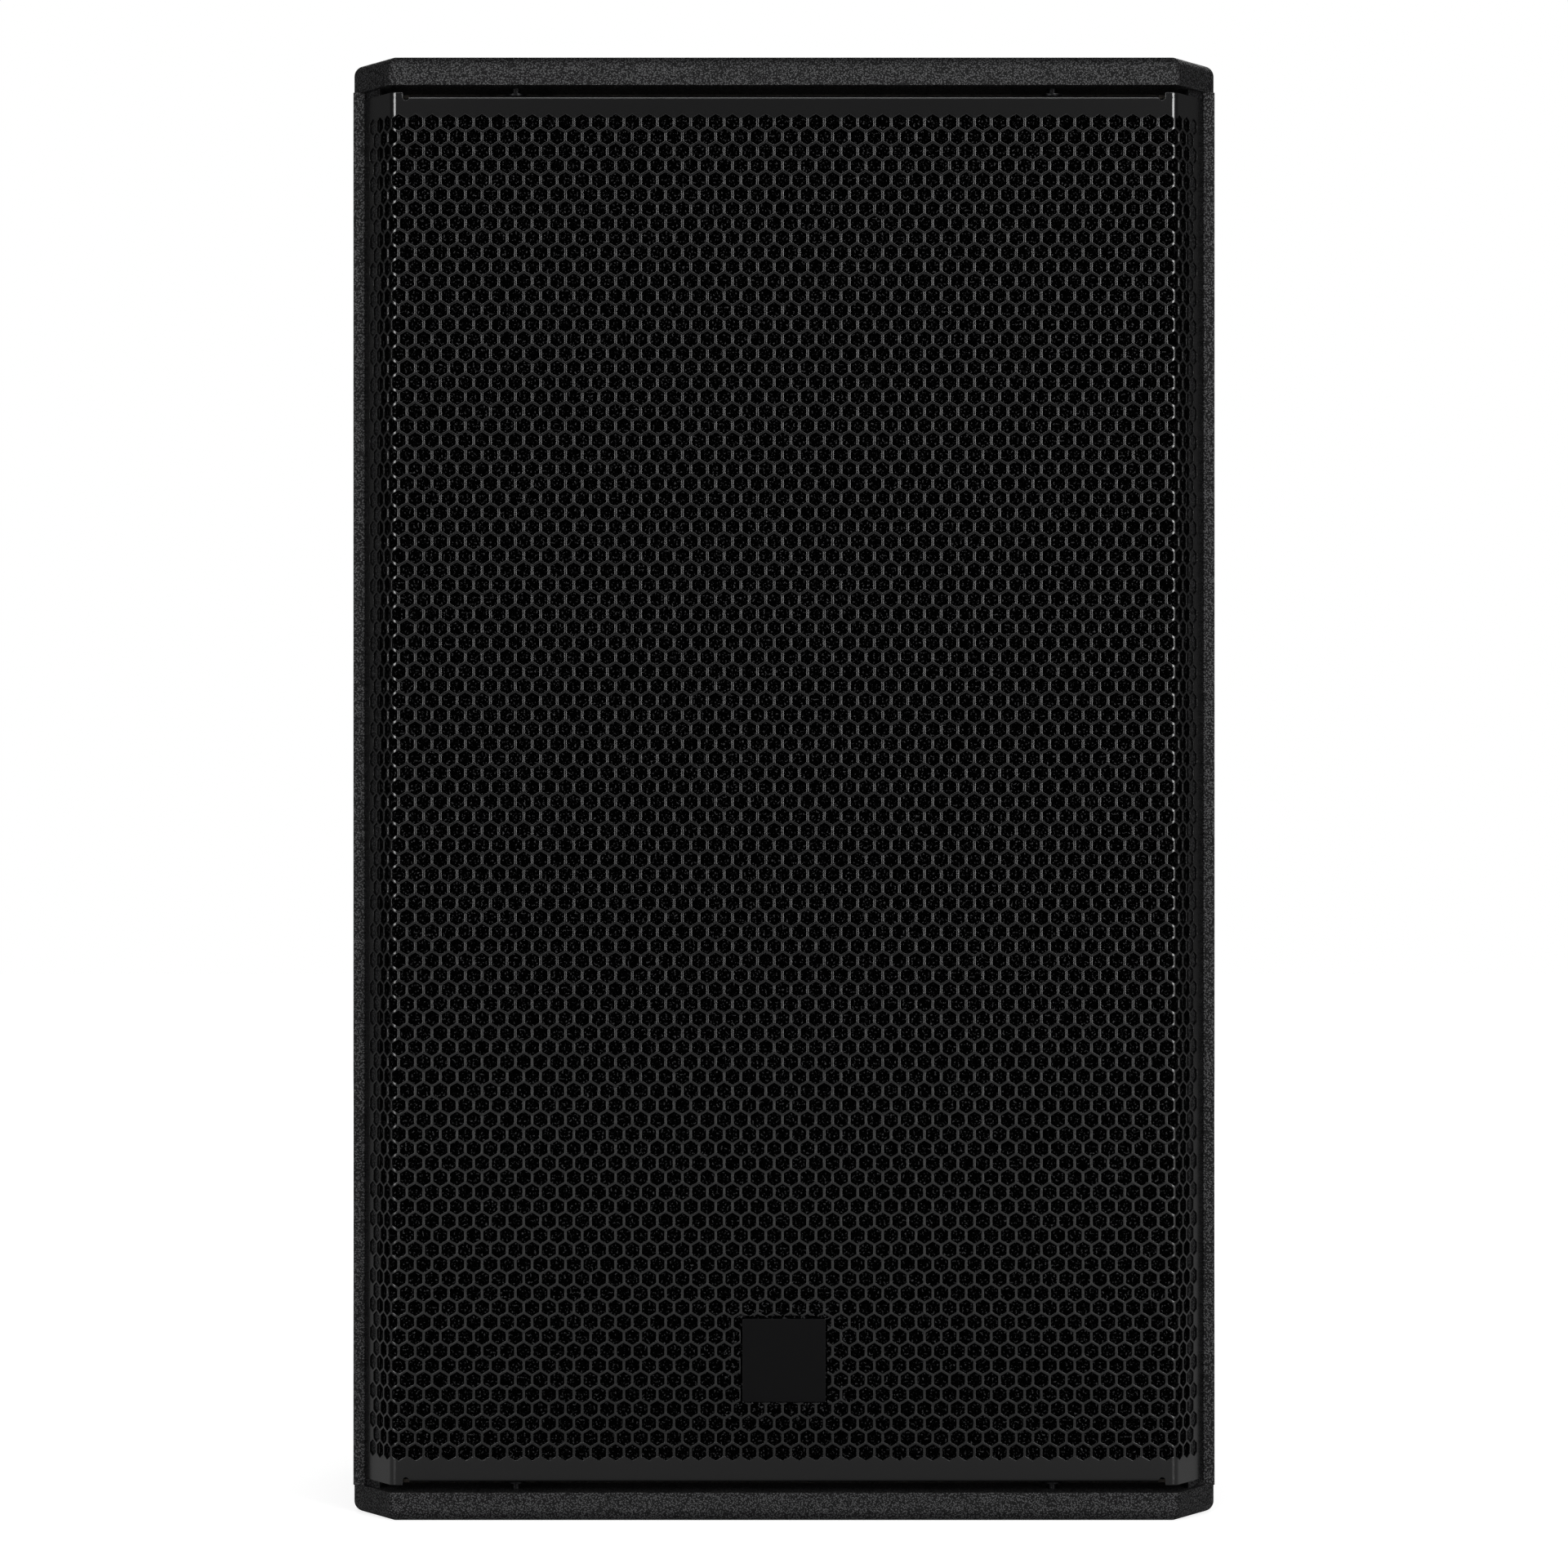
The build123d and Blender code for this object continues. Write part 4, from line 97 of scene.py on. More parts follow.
REARWARD, FORWARD, UP, DOWN = (0.0, 1.0, 0.0), (0.0, -1.0, 0.0), (0.0, 0.0, 1.0), (0.0, 0.0, -1.0)
WHITE = (1.0, 1.0, 1.0, 1.0)

FLOAT, VECTOR, INTEGER = "NodeSocketFloat", "NodeSocketVector", "NodeSocketInt"
GEOMETRY, MATERIAL, OBJECT = "NodeSocketGeometry", "NodeSocketMaterial", "NodeSocketObject"
SOCKET_KINDS = {float: FLOAT, tuple: VECTOR, int: INTEGER}


class Body(str, Enum):
    """The bodies that new pieces ride on."""

    CABINET = "cabinet"
    WOOFER = "woofer_cone_assembly"
    VOLUME = "volume_control"
    ROCKER = "power_rocker"


class Pattern(Enum):
    """How a finish breaks up the light."""

    GRAIN = "grain"  # sprayed paint, powder coat, moulded grain, cast skin
    FOAM = "foam"
    STRANDS = "strands"  # brushing, wood, fibres, weave, windings


# ---------------------------------------------------------------- node helpers


class Graph:
    """A node tree and short ways to fill it."""

    def __init__(self, tree: Tree) -> None:
        """Keeps the tree.

        Args:
            tree: the node tree to fill.
        """
        self.tree = tree

    def link(self, source: Socket, target: Socket) -> None:
        """Joins an output to an input."""
        self.tree.links.new(source, target)

    def node(self, kind: str, inputs: dict[Any, Any] | None = None, **settings: Any) -> Node:
        """Adds a node.

        Args:
            kind: the node's type name.
            inputs: values or sockets, by the name or number of the input.
            settings: the node's own properties.

        Returns:
            The new node.
        """
        made = self.tree.nodes.new(kind)
        for name, value in settings.items():
            setattr(made, name, value)
        for key, value in (inputs or {}).items():
            if isinstance(value, Socket):
                self.link(value, made.inputs[key])
            else:
                made.inputs[key].default_value = value
        return made

    def first(self, kind: str, inputs: dict[Any, Any] | None = None, **settings: Any) -> Socket:
        """Adds a node as node() does, and returns its first output."""
        return self.node(kind, inputs, **settings).outputs[0]

    def math(self, operation: str, a: Any, b: Any = 0.0, c: Any = 0.0) -> Socket:
        """Adds a Math node and returns its result."""
        return self.first("ShaderNodeMath", {0: a, 1: b, 2: c}, operation=operation)

    def vector(self, operation: str, *terms: Any, **named: Any) -> Socket:
        """Adds a Vector Math node and returns its vector, or the number that it works out."""
        keys = {**dict(enumerate(terms)), **named}
        made = self.node("ShaderNodeVectorMath", keys, operation=operation)
        return made.outputs["Value" if operation in ("DOT_PRODUCT", "LENGTH") else "Vector"]

    def blend(self, share: Any, a: Any, b: Any) -> Socket:
        """Mixes two colours by a share and returns the colour."""
        return self.node("ShaderNodeMix", {0: share, 6: a, 7: b}, data_type="RGBA").outputs[2]

    def spread(
        self, value: Any, low: float, high: float, start: float = 0.0, end: float = 1.0
    ) -> Socket:
        """Maps a value from start..end to low..high, held within it."""
        return self.first("ShaderNodeMapRange", {0: value, 1: start, 2: end, 3: low, 4: high})

    def noise(self, place: Any, scale: Any, detail: float = 2.0, roughness: float = 0.5) -> Node:
        """Adds a Noise Texture node."""
        keys = {"Vector": place, "Scale": scale, "Detail": detail, "Roughness": roughness}
        return self.node("ShaderNodeTexNoise", keys)

    def join(self, *parts: Socket) -> Socket:
        """Joins geometry and returns it."""
        joined = self.node("GeometryNodeJoinGeometry")
        for part in parts:
            self.link(part, joined.inputs[0])
        return joined.outputs[0]


class Group(Graph):
    """A node group with named inputs and outputs."""

    def __init__(self, name: str, kind: str, takes: dict[str, Any], gives: dict[str, str]) -> None:
        """Starts the group.

        Args:
            name: the group's name.
            kind: ShaderNodeTree or GeometryNodeTree.
            takes: each input's default value, or its socket type where it has none.
            gives: socket type of each output.
        """
        super().__init__(bpy.data.node_groups.new(name, kind))
        new_socket = self.tree.interface.new_socket
        for label, value in takes.items():
            if isinstance(value, str):
                new_socket(label, in_out="INPUT", socket_type=value)
            else:
                socket = new_socket(label, in_out="INPUT", socket_type=SOCKET_KINDS[type(value)])
                socket.default_value = value
        for label, socket_type in gives.items():
            new_socket(label, in_out="OUTPUT", socket_type=socket_type)
        self.take = self.node("NodeGroupInput").outputs
        self.out = self.node("NodeGroupOutput").inputs

    def give(self, **results: Socket) -> Tree:
        """Joins results to the outputs of the same names, and returns the finished tree."""
        for label, result in results.items():
            self.link(result, self.out[label])
        return self.tree


def emptied(owner: Any) -> Graph:
    """Turns on the nodes of a material or a world and returns its tree, with nothing in it."""
    owner.use_nodes = True
    owner.node_tree.nodes.clear()
    return Graph(owner.node_tree)


# ---------------------------------------------------------------- shared effects of the finishes

# Each range holds the two levels that an effect fades between. It is nil at the first one, but
# full there for STRUT_EDGE and WORN_TURN.
GRAIN_HEIGHTS = (0.87, 1.11)
STRUT_EDGE = (0.02, 0.2)
# noise levels between which scattered foam struts fade into the painted highlight
STRUT_PAINTED_GLINTS = (0.59, 0.67)
STRAND_LEVELS = (0.3, 0.7)
WORN_TURN = (0.75, 0.98)
WORN_CHANCE = (0.48, 0.62)
DUSTY_SLOPE = (0.5, 1.0)
DUSTY_DRIFT = (0.45, 0.75)
LUMP_SMOOTHNESS, FINE_SCALE, SLOW_SCALE, FINE_SHARE = 0.35, 1.7, 0.12, 0.8
CELL_WARP, PAINTED_GLINT_SCALE = 0.0005, 0.9
WEAR_SCALE, DUST_SCALE = 90.0, 25.0
WEAR_SAMPLES, EDGE_SAMPLES = 4, 6


@cache
def surface_grain() -> Tree:
    """Rounded grains of one size with a slower unevenness under them."""
    takes = {"Vector": VECTOR, "Size": 0.001, "Clumping": 0.4}
    group = Group("surface_grain", "ShaderNodeTree", takes, {"Height": FLOAT, "Tone": FLOAT})
    place, scale = group.take["Vector"], group.math("DIVIDE", 1.0, group.take["Size"])
    keys = {"Vector": place, "Scale": scale, "Randomness": 1.0, "Smoothness": LUMP_SMOOTHNESS}
    lumps = group.node("ShaderNodeTexVoronoi", keys, feature="SMOOTH_F1").outputs["Distance"]
    fine = group.noise(place, group.math("MULTIPLY", scale, FINE_SCALE), 2.0, 0.6).outputs[0]
    slow = group.noise(place, group.math("MULTIPLY", scale, SLOW_SCALE)).outputs[0]
    height = group.math("MULTIPLY_ADD", fine, FINE_SHARE, group.math("SUBTRACT", 1.0, lumps))
    clump = group.math("MULTIPLY", group.math("SUBTRACT", slow, 0.5), group.take["Clumping"])
    tone = group.math("ADD", group.spread(height, 0.0, 1.0, *GRAIN_HEIGHTS), clump)
    return group.give(Height=height, Tone=tone)


@cache
def open_cells() -> Tree:
    """Open foam: a net of thin struts round dark pits, with a painted highlight on scattered struts."""
    takes = {"Vector": VECTOR, "Size": 0.001}
    group = Group("open_cells", "ShaderNodeTree", takes, {"Height": FLOAT, "Tone": FLOAT})
    place, scale = group.take["Vector"], group.math("DIVIDE", 1.0, group.take["Size"])
    warp = group.noise(place, scale, 1.0).outputs["Color"]
    bent = group.vector("ADD", place, group.vector("SCALE", warp, Scale=CELL_WARP))
    keys = {"Vector": bent, "Scale": scale}
    edges = group.node("ShaderNodeTexVoronoi", keys, feature="DISTANCE_TO_EDGE").outputs["Distance"]
    strut = group.spread(edges, 1.0, 0.0, *STRUT_EDGE)
    # painted highlight: noise picks scattered struts that take the light tone, standing in for light that
    # the struts catch
    painted_glints = group.noise(place, group.math("MULTIPLY", scale, PAINTED_GLINT_SCALE), 1.0).outputs[0]
    tone = group.math("MULTIPLY", strut, group.spread(painted_glints, 0.0, 1.0, *STRUT_PAINTED_GLINTS))
    return group.give(Height=strut, Tone=tone)


@cache
def strands() -> Tree:
    """Fine lines along one direction: brushing, wood grain, fibres or windings."""
    takes = {"Vector": VECTOR, "Size": 0.001, "Stretch": (1.0, 1.0, 1.0)}
    group = Group("strands", "ShaderNodeTree", takes, {"Height": FLOAT, "Tone": FLOAT})
    place = group.vector("MULTIPLY", group.take["Vector"], group.take["Stretch"])
    noise = group.noise(place, group.math("DIVIDE", 1.0, group.take["Size"]), 3.0, 0.65).outputs[0]
    return group.give(Height=noise, Tone=group.spread(noise, 0.0, 1.0, *STRAND_LEVELS))


@cache
def edge_wear() -> Tree:
    """Where the surface turns sharply, broken up so that the rubbing looks chance."""
    takes = {"Vector": VECTOR, "Radius": 0.001}
    group = Group("edge_wear", "ShaderNodeTree", takes, {"Mask": FLOAT})
    keys = {"Radius": group.take["Radius"]}
    softened = group.first("ShaderNodeBevel", keys, samples=WEAR_SAMPLES)
    flat = group.node("ShaderNodeNewGeometry").outputs["Normal"]
    turn = group.spread(group.vector("DOT_PRODUCT", softened, flat), 1.0, 0.0, *WORN_TURN)
    noise = group.noise(group.take["Vector"], WEAR_SCALE, 4.0).outputs[0]
    chance = group.spread(noise, 0.0, 1.0, *WORN_CHANCE)
    return group.give(Mask=group.math("MULTIPLY", turn, chance))


@cache
def soft_edges() -> Tree:
    """A normal that turns gently over sharp edges, as paint and pressing leave them."""
    takes = {"Radius": 0.0003, "Amount": 1.0}
    group = Group("soft_edges", "ShaderNodeTree", takes, {"Normal": VECTOR})
    keys = {"Radius": group.take["Radius"]}
    softened = group.first("ShaderNodeBevel", keys, samples=EDGE_SAMPLES)
    flat = group.node("ShaderNodeNewGeometry").outputs["Normal"]
    turn = group.vector("SUBTRACT", softened, flat)
    part = group.vector("MULTIPLY_ADD", turn, group.take["Amount"], flat)
    return group.give(Normal=group.vector("NORMALIZE", part))


@cache
def settled_dust() -> Tree:
    """Faint settled dust on what faces up."""
    group = Group("settled_dust", "ShaderNodeTree", {"Vector": VECTOR}, {"Mask": FLOAT})
    normal = group.node("ShaderNodeNewGeometry").outputs["Normal"]
    facing = group.node("ShaderNodeSeparateXYZ", {0: normal}).outputs["Z"]
    up = group.spread(facing, 0.0, 1.0, *DUSTY_SLOPE)
    noise = group.noise(group.take["Vector"], DUST_SCALE, 6.0, 0.7).outputs[0]
    drift = group.spread(noise, 0.0, 1.0, *DUSTY_DRIFT)
    return group.give(Mask=group.math("MULTIPLY", up, drift))


@dataclass(frozen=True)
class Finish:
    """One surface finish: its two tones, gloss, grain and wear.

    Lengths are in millimetres. Each finish makes one material, the first time it is asked for.
    """

    name: str
    dark: Point
    light: Point
    roughness: float
    pattern: Pattern = Pattern.GRAIN
    grain: float = 0.5
    relief: float = 0.05
    gloss_spread: float = 0.08
    metallic: float = 0.0
    specular: float = 0.5
    glint: float = 0.0
    clumping: float = 0.3
    stretch: Point = (1.0, 1.0, 1.0)
    wear: float = 0.0
    wear_radius: float = 0.8
    bare: Point = (0.18, 0.17, 0.16)
    dust: float = 0.0
    dust_color: Point = (0.25, 0.24, 0.22)
    clear: float = 0.0
    rounding: float = 0.0
    easing: float = 1.0
    tints: tuple[tuple[float, Point], ...] = ()
    tint_shade: float = 0.55

    def material(self) -> bpy.types.Material:
        """Returns this finish's material."""
        known = bpy.data.materials.get(self.name)
        return known if known is not None else self._build()

    def _pattern(self, graph: Graph, place: Socket) -> tuple[Socket, Socket]:
        """Adds the group that breaks up this finish, and returns its height and tone."""
        keys = {"Vector": place, "Size": self.grain * MM}
        if self.pattern is Pattern.GRAIN:
            tree, keys["Clumping"] = surface_grain(), self.clumping
        elif self.pattern is Pattern.FOAM:
            tree = open_cells()
        else:
            tree, keys["Stretch"] = strands(), self.stretch
        made = graph.node("ShaderNodeGroup", keys, node_tree=tree)
        return made.outputs["Height"], made.outputs["Tone"]

    def _tones(self, graph: Graph, place: Socket) -> tuple[Any, Any]:
        """Returns the dark and the light tone, which change along x where the finish has tints."""
        if not self.tints:
            return (*self.dark, 1.0), (*self.light, 1.0)
        along = graph.node("ShaderNodeSeparateXYZ", {0: place}).outputs["X"]
        light: Any = (*self.tints[0][1], 1.0)
        for start, tint in self.tints[1:]:
            light = graph.blend(graph.math("GREATER_THAN", along, start * MM), light, (*tint, 1.0))
        return graph.vector("SCALE", light, Scale=self.tint_shade), light

    def _build(self) -> bpy.types.Material:
        """Builds the material from the shared effects."""
        made = bpy.data.materials.new(self.name)
        made.diffuse_color = (*self.light, 1.0)
        graph = emptied(made)
        place = graph.node("ShaderNodeTexCoord").outputs["Object"]
        height, tone = self._pattern(graph, place)
        color = graph.blend(tone, *self._tones(graph, place))
        if self.wear:
            keys = {"Vector": place, "Radius": self.wear_radius * MM}
            worn = graph.first("ShaderNodeGroup", keys, node_tree=edge_wear())
            color = graph.blend(graph.math("MULTIPLY", worn, self.wear), color, (*self.bare, 1.0))
        if self.dust:
            settled = graph.first("ShaderNodeGroup", {"Vector": place}, node_tree=settled_dust())
            share = graph.math("MULTIPLY", settled, self.dust)
            color = graph.blend(share, color, (*self.dust_color, 1.0))
        low, high = self.roughness - self.gloss_spread, self.roughness + self.gloss_spread
        specular: Any = self.specular
        if self.glint:
            dull, bright = self.specular * (1.0 - self.glint), self.specular * (1.0 + self.glint)
            specular = graph.spread(tone, dull, bright)
        keys = {
            "Base Color": color,
            "Roughness": graph.spread(tone, high, low),
            "Metallic": self.metallic,
            "Specular IOR Level": specular,
            "Transmission Weight": self.clear,
        }
        if self.rounding:
            eased = {"Radius": self.rounding * MM, "Amount": self.easing}
            keys["Normal"] = graph.first("ShaderNodeGroup", eased, node_tree=soft_edges())
        if self.relief:
            taken = {"Height": height, "Distance": self.relief * MM, "Strength": 1.0}
            taken.update({"Normal": keys["Normal"]} if self.rounding else {})
            keys["Normal"] = graph.first("ShaderNodeBump", taken)
        shader = graph.first("ShaderNodeBsdfPrincipled", keys)
        graph.node("ShaderNodeOutputMaterial", {"Surface": shader})
        return made


# ---------------------------------------------------------------- the finishes of this loudspeaker

FOAM, STRANDS = Pattern.FOAM, Pattern.STRANDS

FINISHES: dict[str, Finish] = {
    "textured_paint": Finish(
        "textured_black_paint", (0.002, 0.002, 0.0022), (0.03, 0.03, 0.0315), 0.55,
        grain=0.7, relief=0.16, specular=0.33, glint=0.55, clumping=0.1,
        wear=0.2, wear_radius=1.2, bare=(0.09, 0.085, 0.08), dust=0.04,
    ),
    "bare_plywood": Finish(
        "stained_plywood", (0.02, 0.017, 0.014), (0.07, 0.058, 0.045), 0.7, STRANDS,
        grain=2.2, relief=0.06, stretch=(1.0, 1.0, 0.06),
    ),
    "grille_steel": Finish(
        "satin_grille_coat", (0.0014, 0.0014, 0.0015), (0.003, 0.003, 0.0032), 0.2,
        grain=0.25, relief=0.001, specular=0.66, gloss_spread=0.015, clumping=0.6,
        rounding=0.6, easing=0.5,
    ),
    # its light tone is the painted highlight on scattered struts
    "grille_foam": Finish(
        "open_cell_foam", (0.0001, 0.0001, 0.0001), (0.055, 0.055, 0.057), 0.85, FOAM,
        grain=0.8, relief=0.12, specular=0.01,
    ),
    "badge_plastic": Finish(
        "badge_satin", (0.0025, 0.0025, 0.0027), (0.0035, 0.0035, 0.0038), 0.22,
        grain=0.12, relief=0.0, specular=0.13, gloss_spread=0.01,
    ),
    "black_steel": Finish(
        "black_powder_coat", (0.010, 0.010, 0.0105), (0.026, 0.026, 0.027), 0.5,
        grain=0.35, relief=0.03, wear=0.2, wear_radius=0.4, dust=0.05,
    ),
    "zinc_steel": Finish(
        "zinc_plate", (0.42, 0.42, 0.43), (0.62, 0.62, 0.62), 0.34,
        grain=0.9, relief=0.008, metallic=1.0, clumping=0.8,
    ),
    "black_screws": Finish(
        "black_zinc_screw", (0.008, 0.008, 0.0085), (0.018, 0.018, 0.0185), 0.42,
        grain=0.3, relief=0.01, metallic=1.0, wear=0.5, wear_radius=0.25, bare=(0.4, 0.39, 0.38),
    ),
    "cast_aluminium": Finish(
        "cast_aluminium", (0.16, 0.16, 0.165), (0.26, 0.26, 0.265), 0.55, metallic=1.0,
    ),
    "ferrite": Finish(
        "fired_ferrite", (0.035, 0.035, 0.037), (0.075, 0.075, 0.08), 0.62, grain=0.4, relief=0.03,
    ),
    "driver_steel": Finish(
        "black_plated_steel", (0.05, 0.05, 0.052), (0.1, 0.1, 0.104), 0.4,
        grain=0.4, relief=0.01, metallic=1.0,
    ),
    "paper_cone": Finish(
        "pressed_paper", (0.012, 0.012, 0.012), (0.035, 0.034, 0.032), 0.8, STRANDS,
        grain=0.8, relief=0.08, stretch=(1.0, 0.5, 1.0),
    ),
    "treated_cloth": Finish(
        "treated_cloth", (0.03, 0.024, 0.015), (0.11, 0.09, 0.055), 0.7, STRANDS, relief=0.07,
    ),
    "gasket_foam": Finish(
        "gasket_rubber", (0.01, 0.01, 0.01), (0.03, 0.03, 0.03), 0.75, grain=0.4, relief=0.03,
    ),
    "coil_wire": Finish(
        "enamelled_copper", (0.28, 0.11, 0.035), (0.62, 0.28, 0.09), 0.3, STRANDS,
        grain=1.1, relief=0.15, metallic=0.9, stretch=(1.0, 0.05, 1.0),
    ),
    "moulded_plastic": Finish(
        "moulded_black_plastic", (0.012, 0.012, 0.0125), (0.022, 0.022, 0.023), 0.5,
        grain=0.45, relief=0.035, wear=0.15, wear_radius=0.6, bare=(0.07, 0.07, 0.07), dust=0.04,
    ),
    "grip_rubber": Finish(
        "grip_rubber", (0.012, 0.012, 0.012), (0.02, 0.02, 0.02), 0.72,
        grain=0.3, relief=0.02, specular=0.35,
    ),
    "socket_metal": Finish(
        "black_nickel", (0.09, 0.088, 0.085), (0.17, 0.165, 0.16), 0.3,
        relief=0.006, metallic=1.0, wear=0.4, wear_radius=0.3,
    ),
    "sink_aluminium": Finish(
        "black_anodised", (0.018, 0.018, 0.02), (0.035, 0.035, 0.038), 0.42, STRANDS,
        relief=0.01, metallic=0.6, stretch=(1.0, 1.0, 0.04), dust=0.05,
    ),
    "circuit_board": Finish(
        "solder_mask", (0.01, 0.06, 0.022), (0.03, 0.13, 0.05), 0.35,
        grain=1.5, relief=0.03, clumping=0.9,
    ),
    "led_lens": Finish(
        "indicator_lens", (0.05, 0.3, 0.08), (0.1, 0.6, 0.15), 0.18,
        grain=0.6, relief=0.0, clear=0.35,
        tints=((-70.0, (0.55, 0.03, 0.02)), (-55.0, (0.7, 0.42, 0.03)), (-45.0, (0.06, 0.5, 0.12))),
    ),
    "wadding_fibre": Finish(
        "polyester_fibre", (0.45, 0.45, 0.42), (0.8, 0.8, 0.77), 0.9, STRANDS,
        grain=1.4, relief=0.5, stretch=(1.0, 0.35, 0.7),
    ),
}

COATED_CLOTH = Finish(
    "coated_cloth", (0.01, 0.01, 0.01), (0.022, 0.022, 0.022), 0.55, STRANDS,
)
WHITE_PRINT = Finish(
    "white_print", (0.55, 0.55, 0.55), (0.68, 0.68, 0.67), 0.6, grain=0.3, relief=0.004,
)

# painted shade: the badge bracket wears the foam's near-black finish in place of its black steel, so that it
# reads as dark as the shade behind the grille holes round the badge
SHADE_PAINTED_FINISHES: dict[str, Finish] = {"badge_bracket": FINISHES["grille_foam"]}


# ---------------------------------------------------------------- mesh helpers


def placed(name: str, data: Any) -> Object:
    """Puts an object in the scene and returns it."""
    made = bpy.data.objects.new(name, data)
    bpy.context.scene.collection.objects.link(made)
    return made


def harvested(carrier: Object) -> Mesh:
    """Returns the mesh that an object comes out as, and removes the object."""
    evaluated = carrier.evaluated_get(bpy.context.evaluated_depsgraph_get())
    mesh = bpy.data.meshes.new_from_object(evaluated)
    bpy.data.objects.remove(carrier)
    return mesh


def settle(
    name: str, mesh: Mesh, slot: str, *nodes: str,
    body: Body | None = Body.CABINET, finish: Finish | None = None,
) -> Object:
    """Makes a finished piece from a mesh and puts it on its body.

    Args:
        name: the piece's name.
        mesh: its mesh, in place, in metres.
        slot: the record's material slot.
        nodes: the CAD nodes it stands for.
        body: the body it rides on; None leaves it to be blended between two.
        finish: the finish it wears, where that isn't its slot's.

    Returns:
        The new object.
    """
    mesh.name = name
    mesh.materials.clear()
    mesh.materials.append((finish or FINISHES[slot]).material())
    piece = placed(name, mesh)
    if body is not None:
        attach(piece, body.value)
    if nodes:
        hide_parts(*nodes)
    log.info("%s: %d faces", name, len(mesh.polygons))
    return piece


def mesh_of(build: Build, name: str, smooth: bool = False) -> Mesh:
    """Writes a bmesh to a new mesh, with outward normals, and frees it."""
    bmesh.ops.recalc_face_normals(build, faces=build.faces)
    for face in build.faces:
        face.smooth = smooth
    mesh = bpy.data.meshes.new(name)
    build.to_mesh(mesh)
    build.free()
    return mesh


def turned(profile: Sequence[Pair], steps: int, closed: bool = True) -> Build:
    """Turns a profile about the Z axis.

    Args:
        profile: (radius, z) points in millimetres; radius 0 makes a pole.
        steps: segments round the axis.
        closed: whether the last point joins the first.

    Returns:
        A bmesh in metres.
    """
    build = bmesh.new()
    rings = []
    for radius, z in profile:
        if radius == 0.0:
            rings.append([build.verts.new((0.0, 0.0, z * MM))] * steps)
        else:
            places = circle((0.0, 0.0), radius, steps)
            rings.append([build.verts.new((x * MM, y * MM, z * MM)) for x, y in places])
    for ring, following in zip(rings, rings[1:] + rings[:1] if closed else rings[1:]):
        for step in range(steps):
            ahead = (step + 1) % steps
            corners = dict.fromkeys([ring[step], ring[ahead], following[ahead], following[step]])
            if len(corners) > 2:
                build.faces.new(list(corners))
    return build


def circle(center: Pair, radius: float, count: int, start: float = 0.0) -> list[Pair]:
    """Places round a circle.

    Args:
        center: its middle.
        radius: its radius.
        count: how many places.
        start: angle of the first, in degrees.

    Returns:
        The places.
    """
    turns = [radians(start) + 2 * pi * n / count for n in range(count)]
    return [(center[0] + radius * cos(t), center[1] + radius * sin(t)) for t in turns]


def divided(start: float, end: float, steps: int) -> list[float]:
    """Evenly spaced places from a start to an end."""
    return [start + (end - start) * n / steps for n in range(steps + 1)]


def squared(value: float, squareness: float) -> float:
    """A sine or cosine pushed out towards a square's sides; a squareness of 2 leaves it round."""
    return abs(value) ** (2 / squareness) * (1 if value >= 0 else -1)


def run_tree(tree: Tree, values: dict[str, Any], start: Mesh) -> Mesh:
    """Runs a geometry tree once and returns its result as a plain mesh.

    Args:
        tree: the tree.
        values: its inputs by name.
        start: the mesh that the tree starts from.

    Returns:
        The evaluated mesh.
    """
    carrier = placed(tree.name, start)
    modifier = carrier.modifiers.new("grow", "NODES")
    modifier.node_group = tree
    for item in tree.interface.items_tree:
        if item.item_type == "SOCKET" and item.in_out == "INPUT" and item.name in values:
            modifier[item.identifier] = values[item.name]
    return harvested(carrier)


def sharpen(mesh: Mesh, limit: float = 35.0) -> None:
    """Keeps edges sharp where faces meet at more than a limit in degrees."""
    build = bmesh.new()
    build.from_mesh(mesh)
    for edge in build.edges:
        edge.smooth = not edge.is_manifold or edge.calc_face_angle() < radians(limit)
    build.to_mesh(mesh)
    build.free()


# ---------------------------------------------------------------- grille


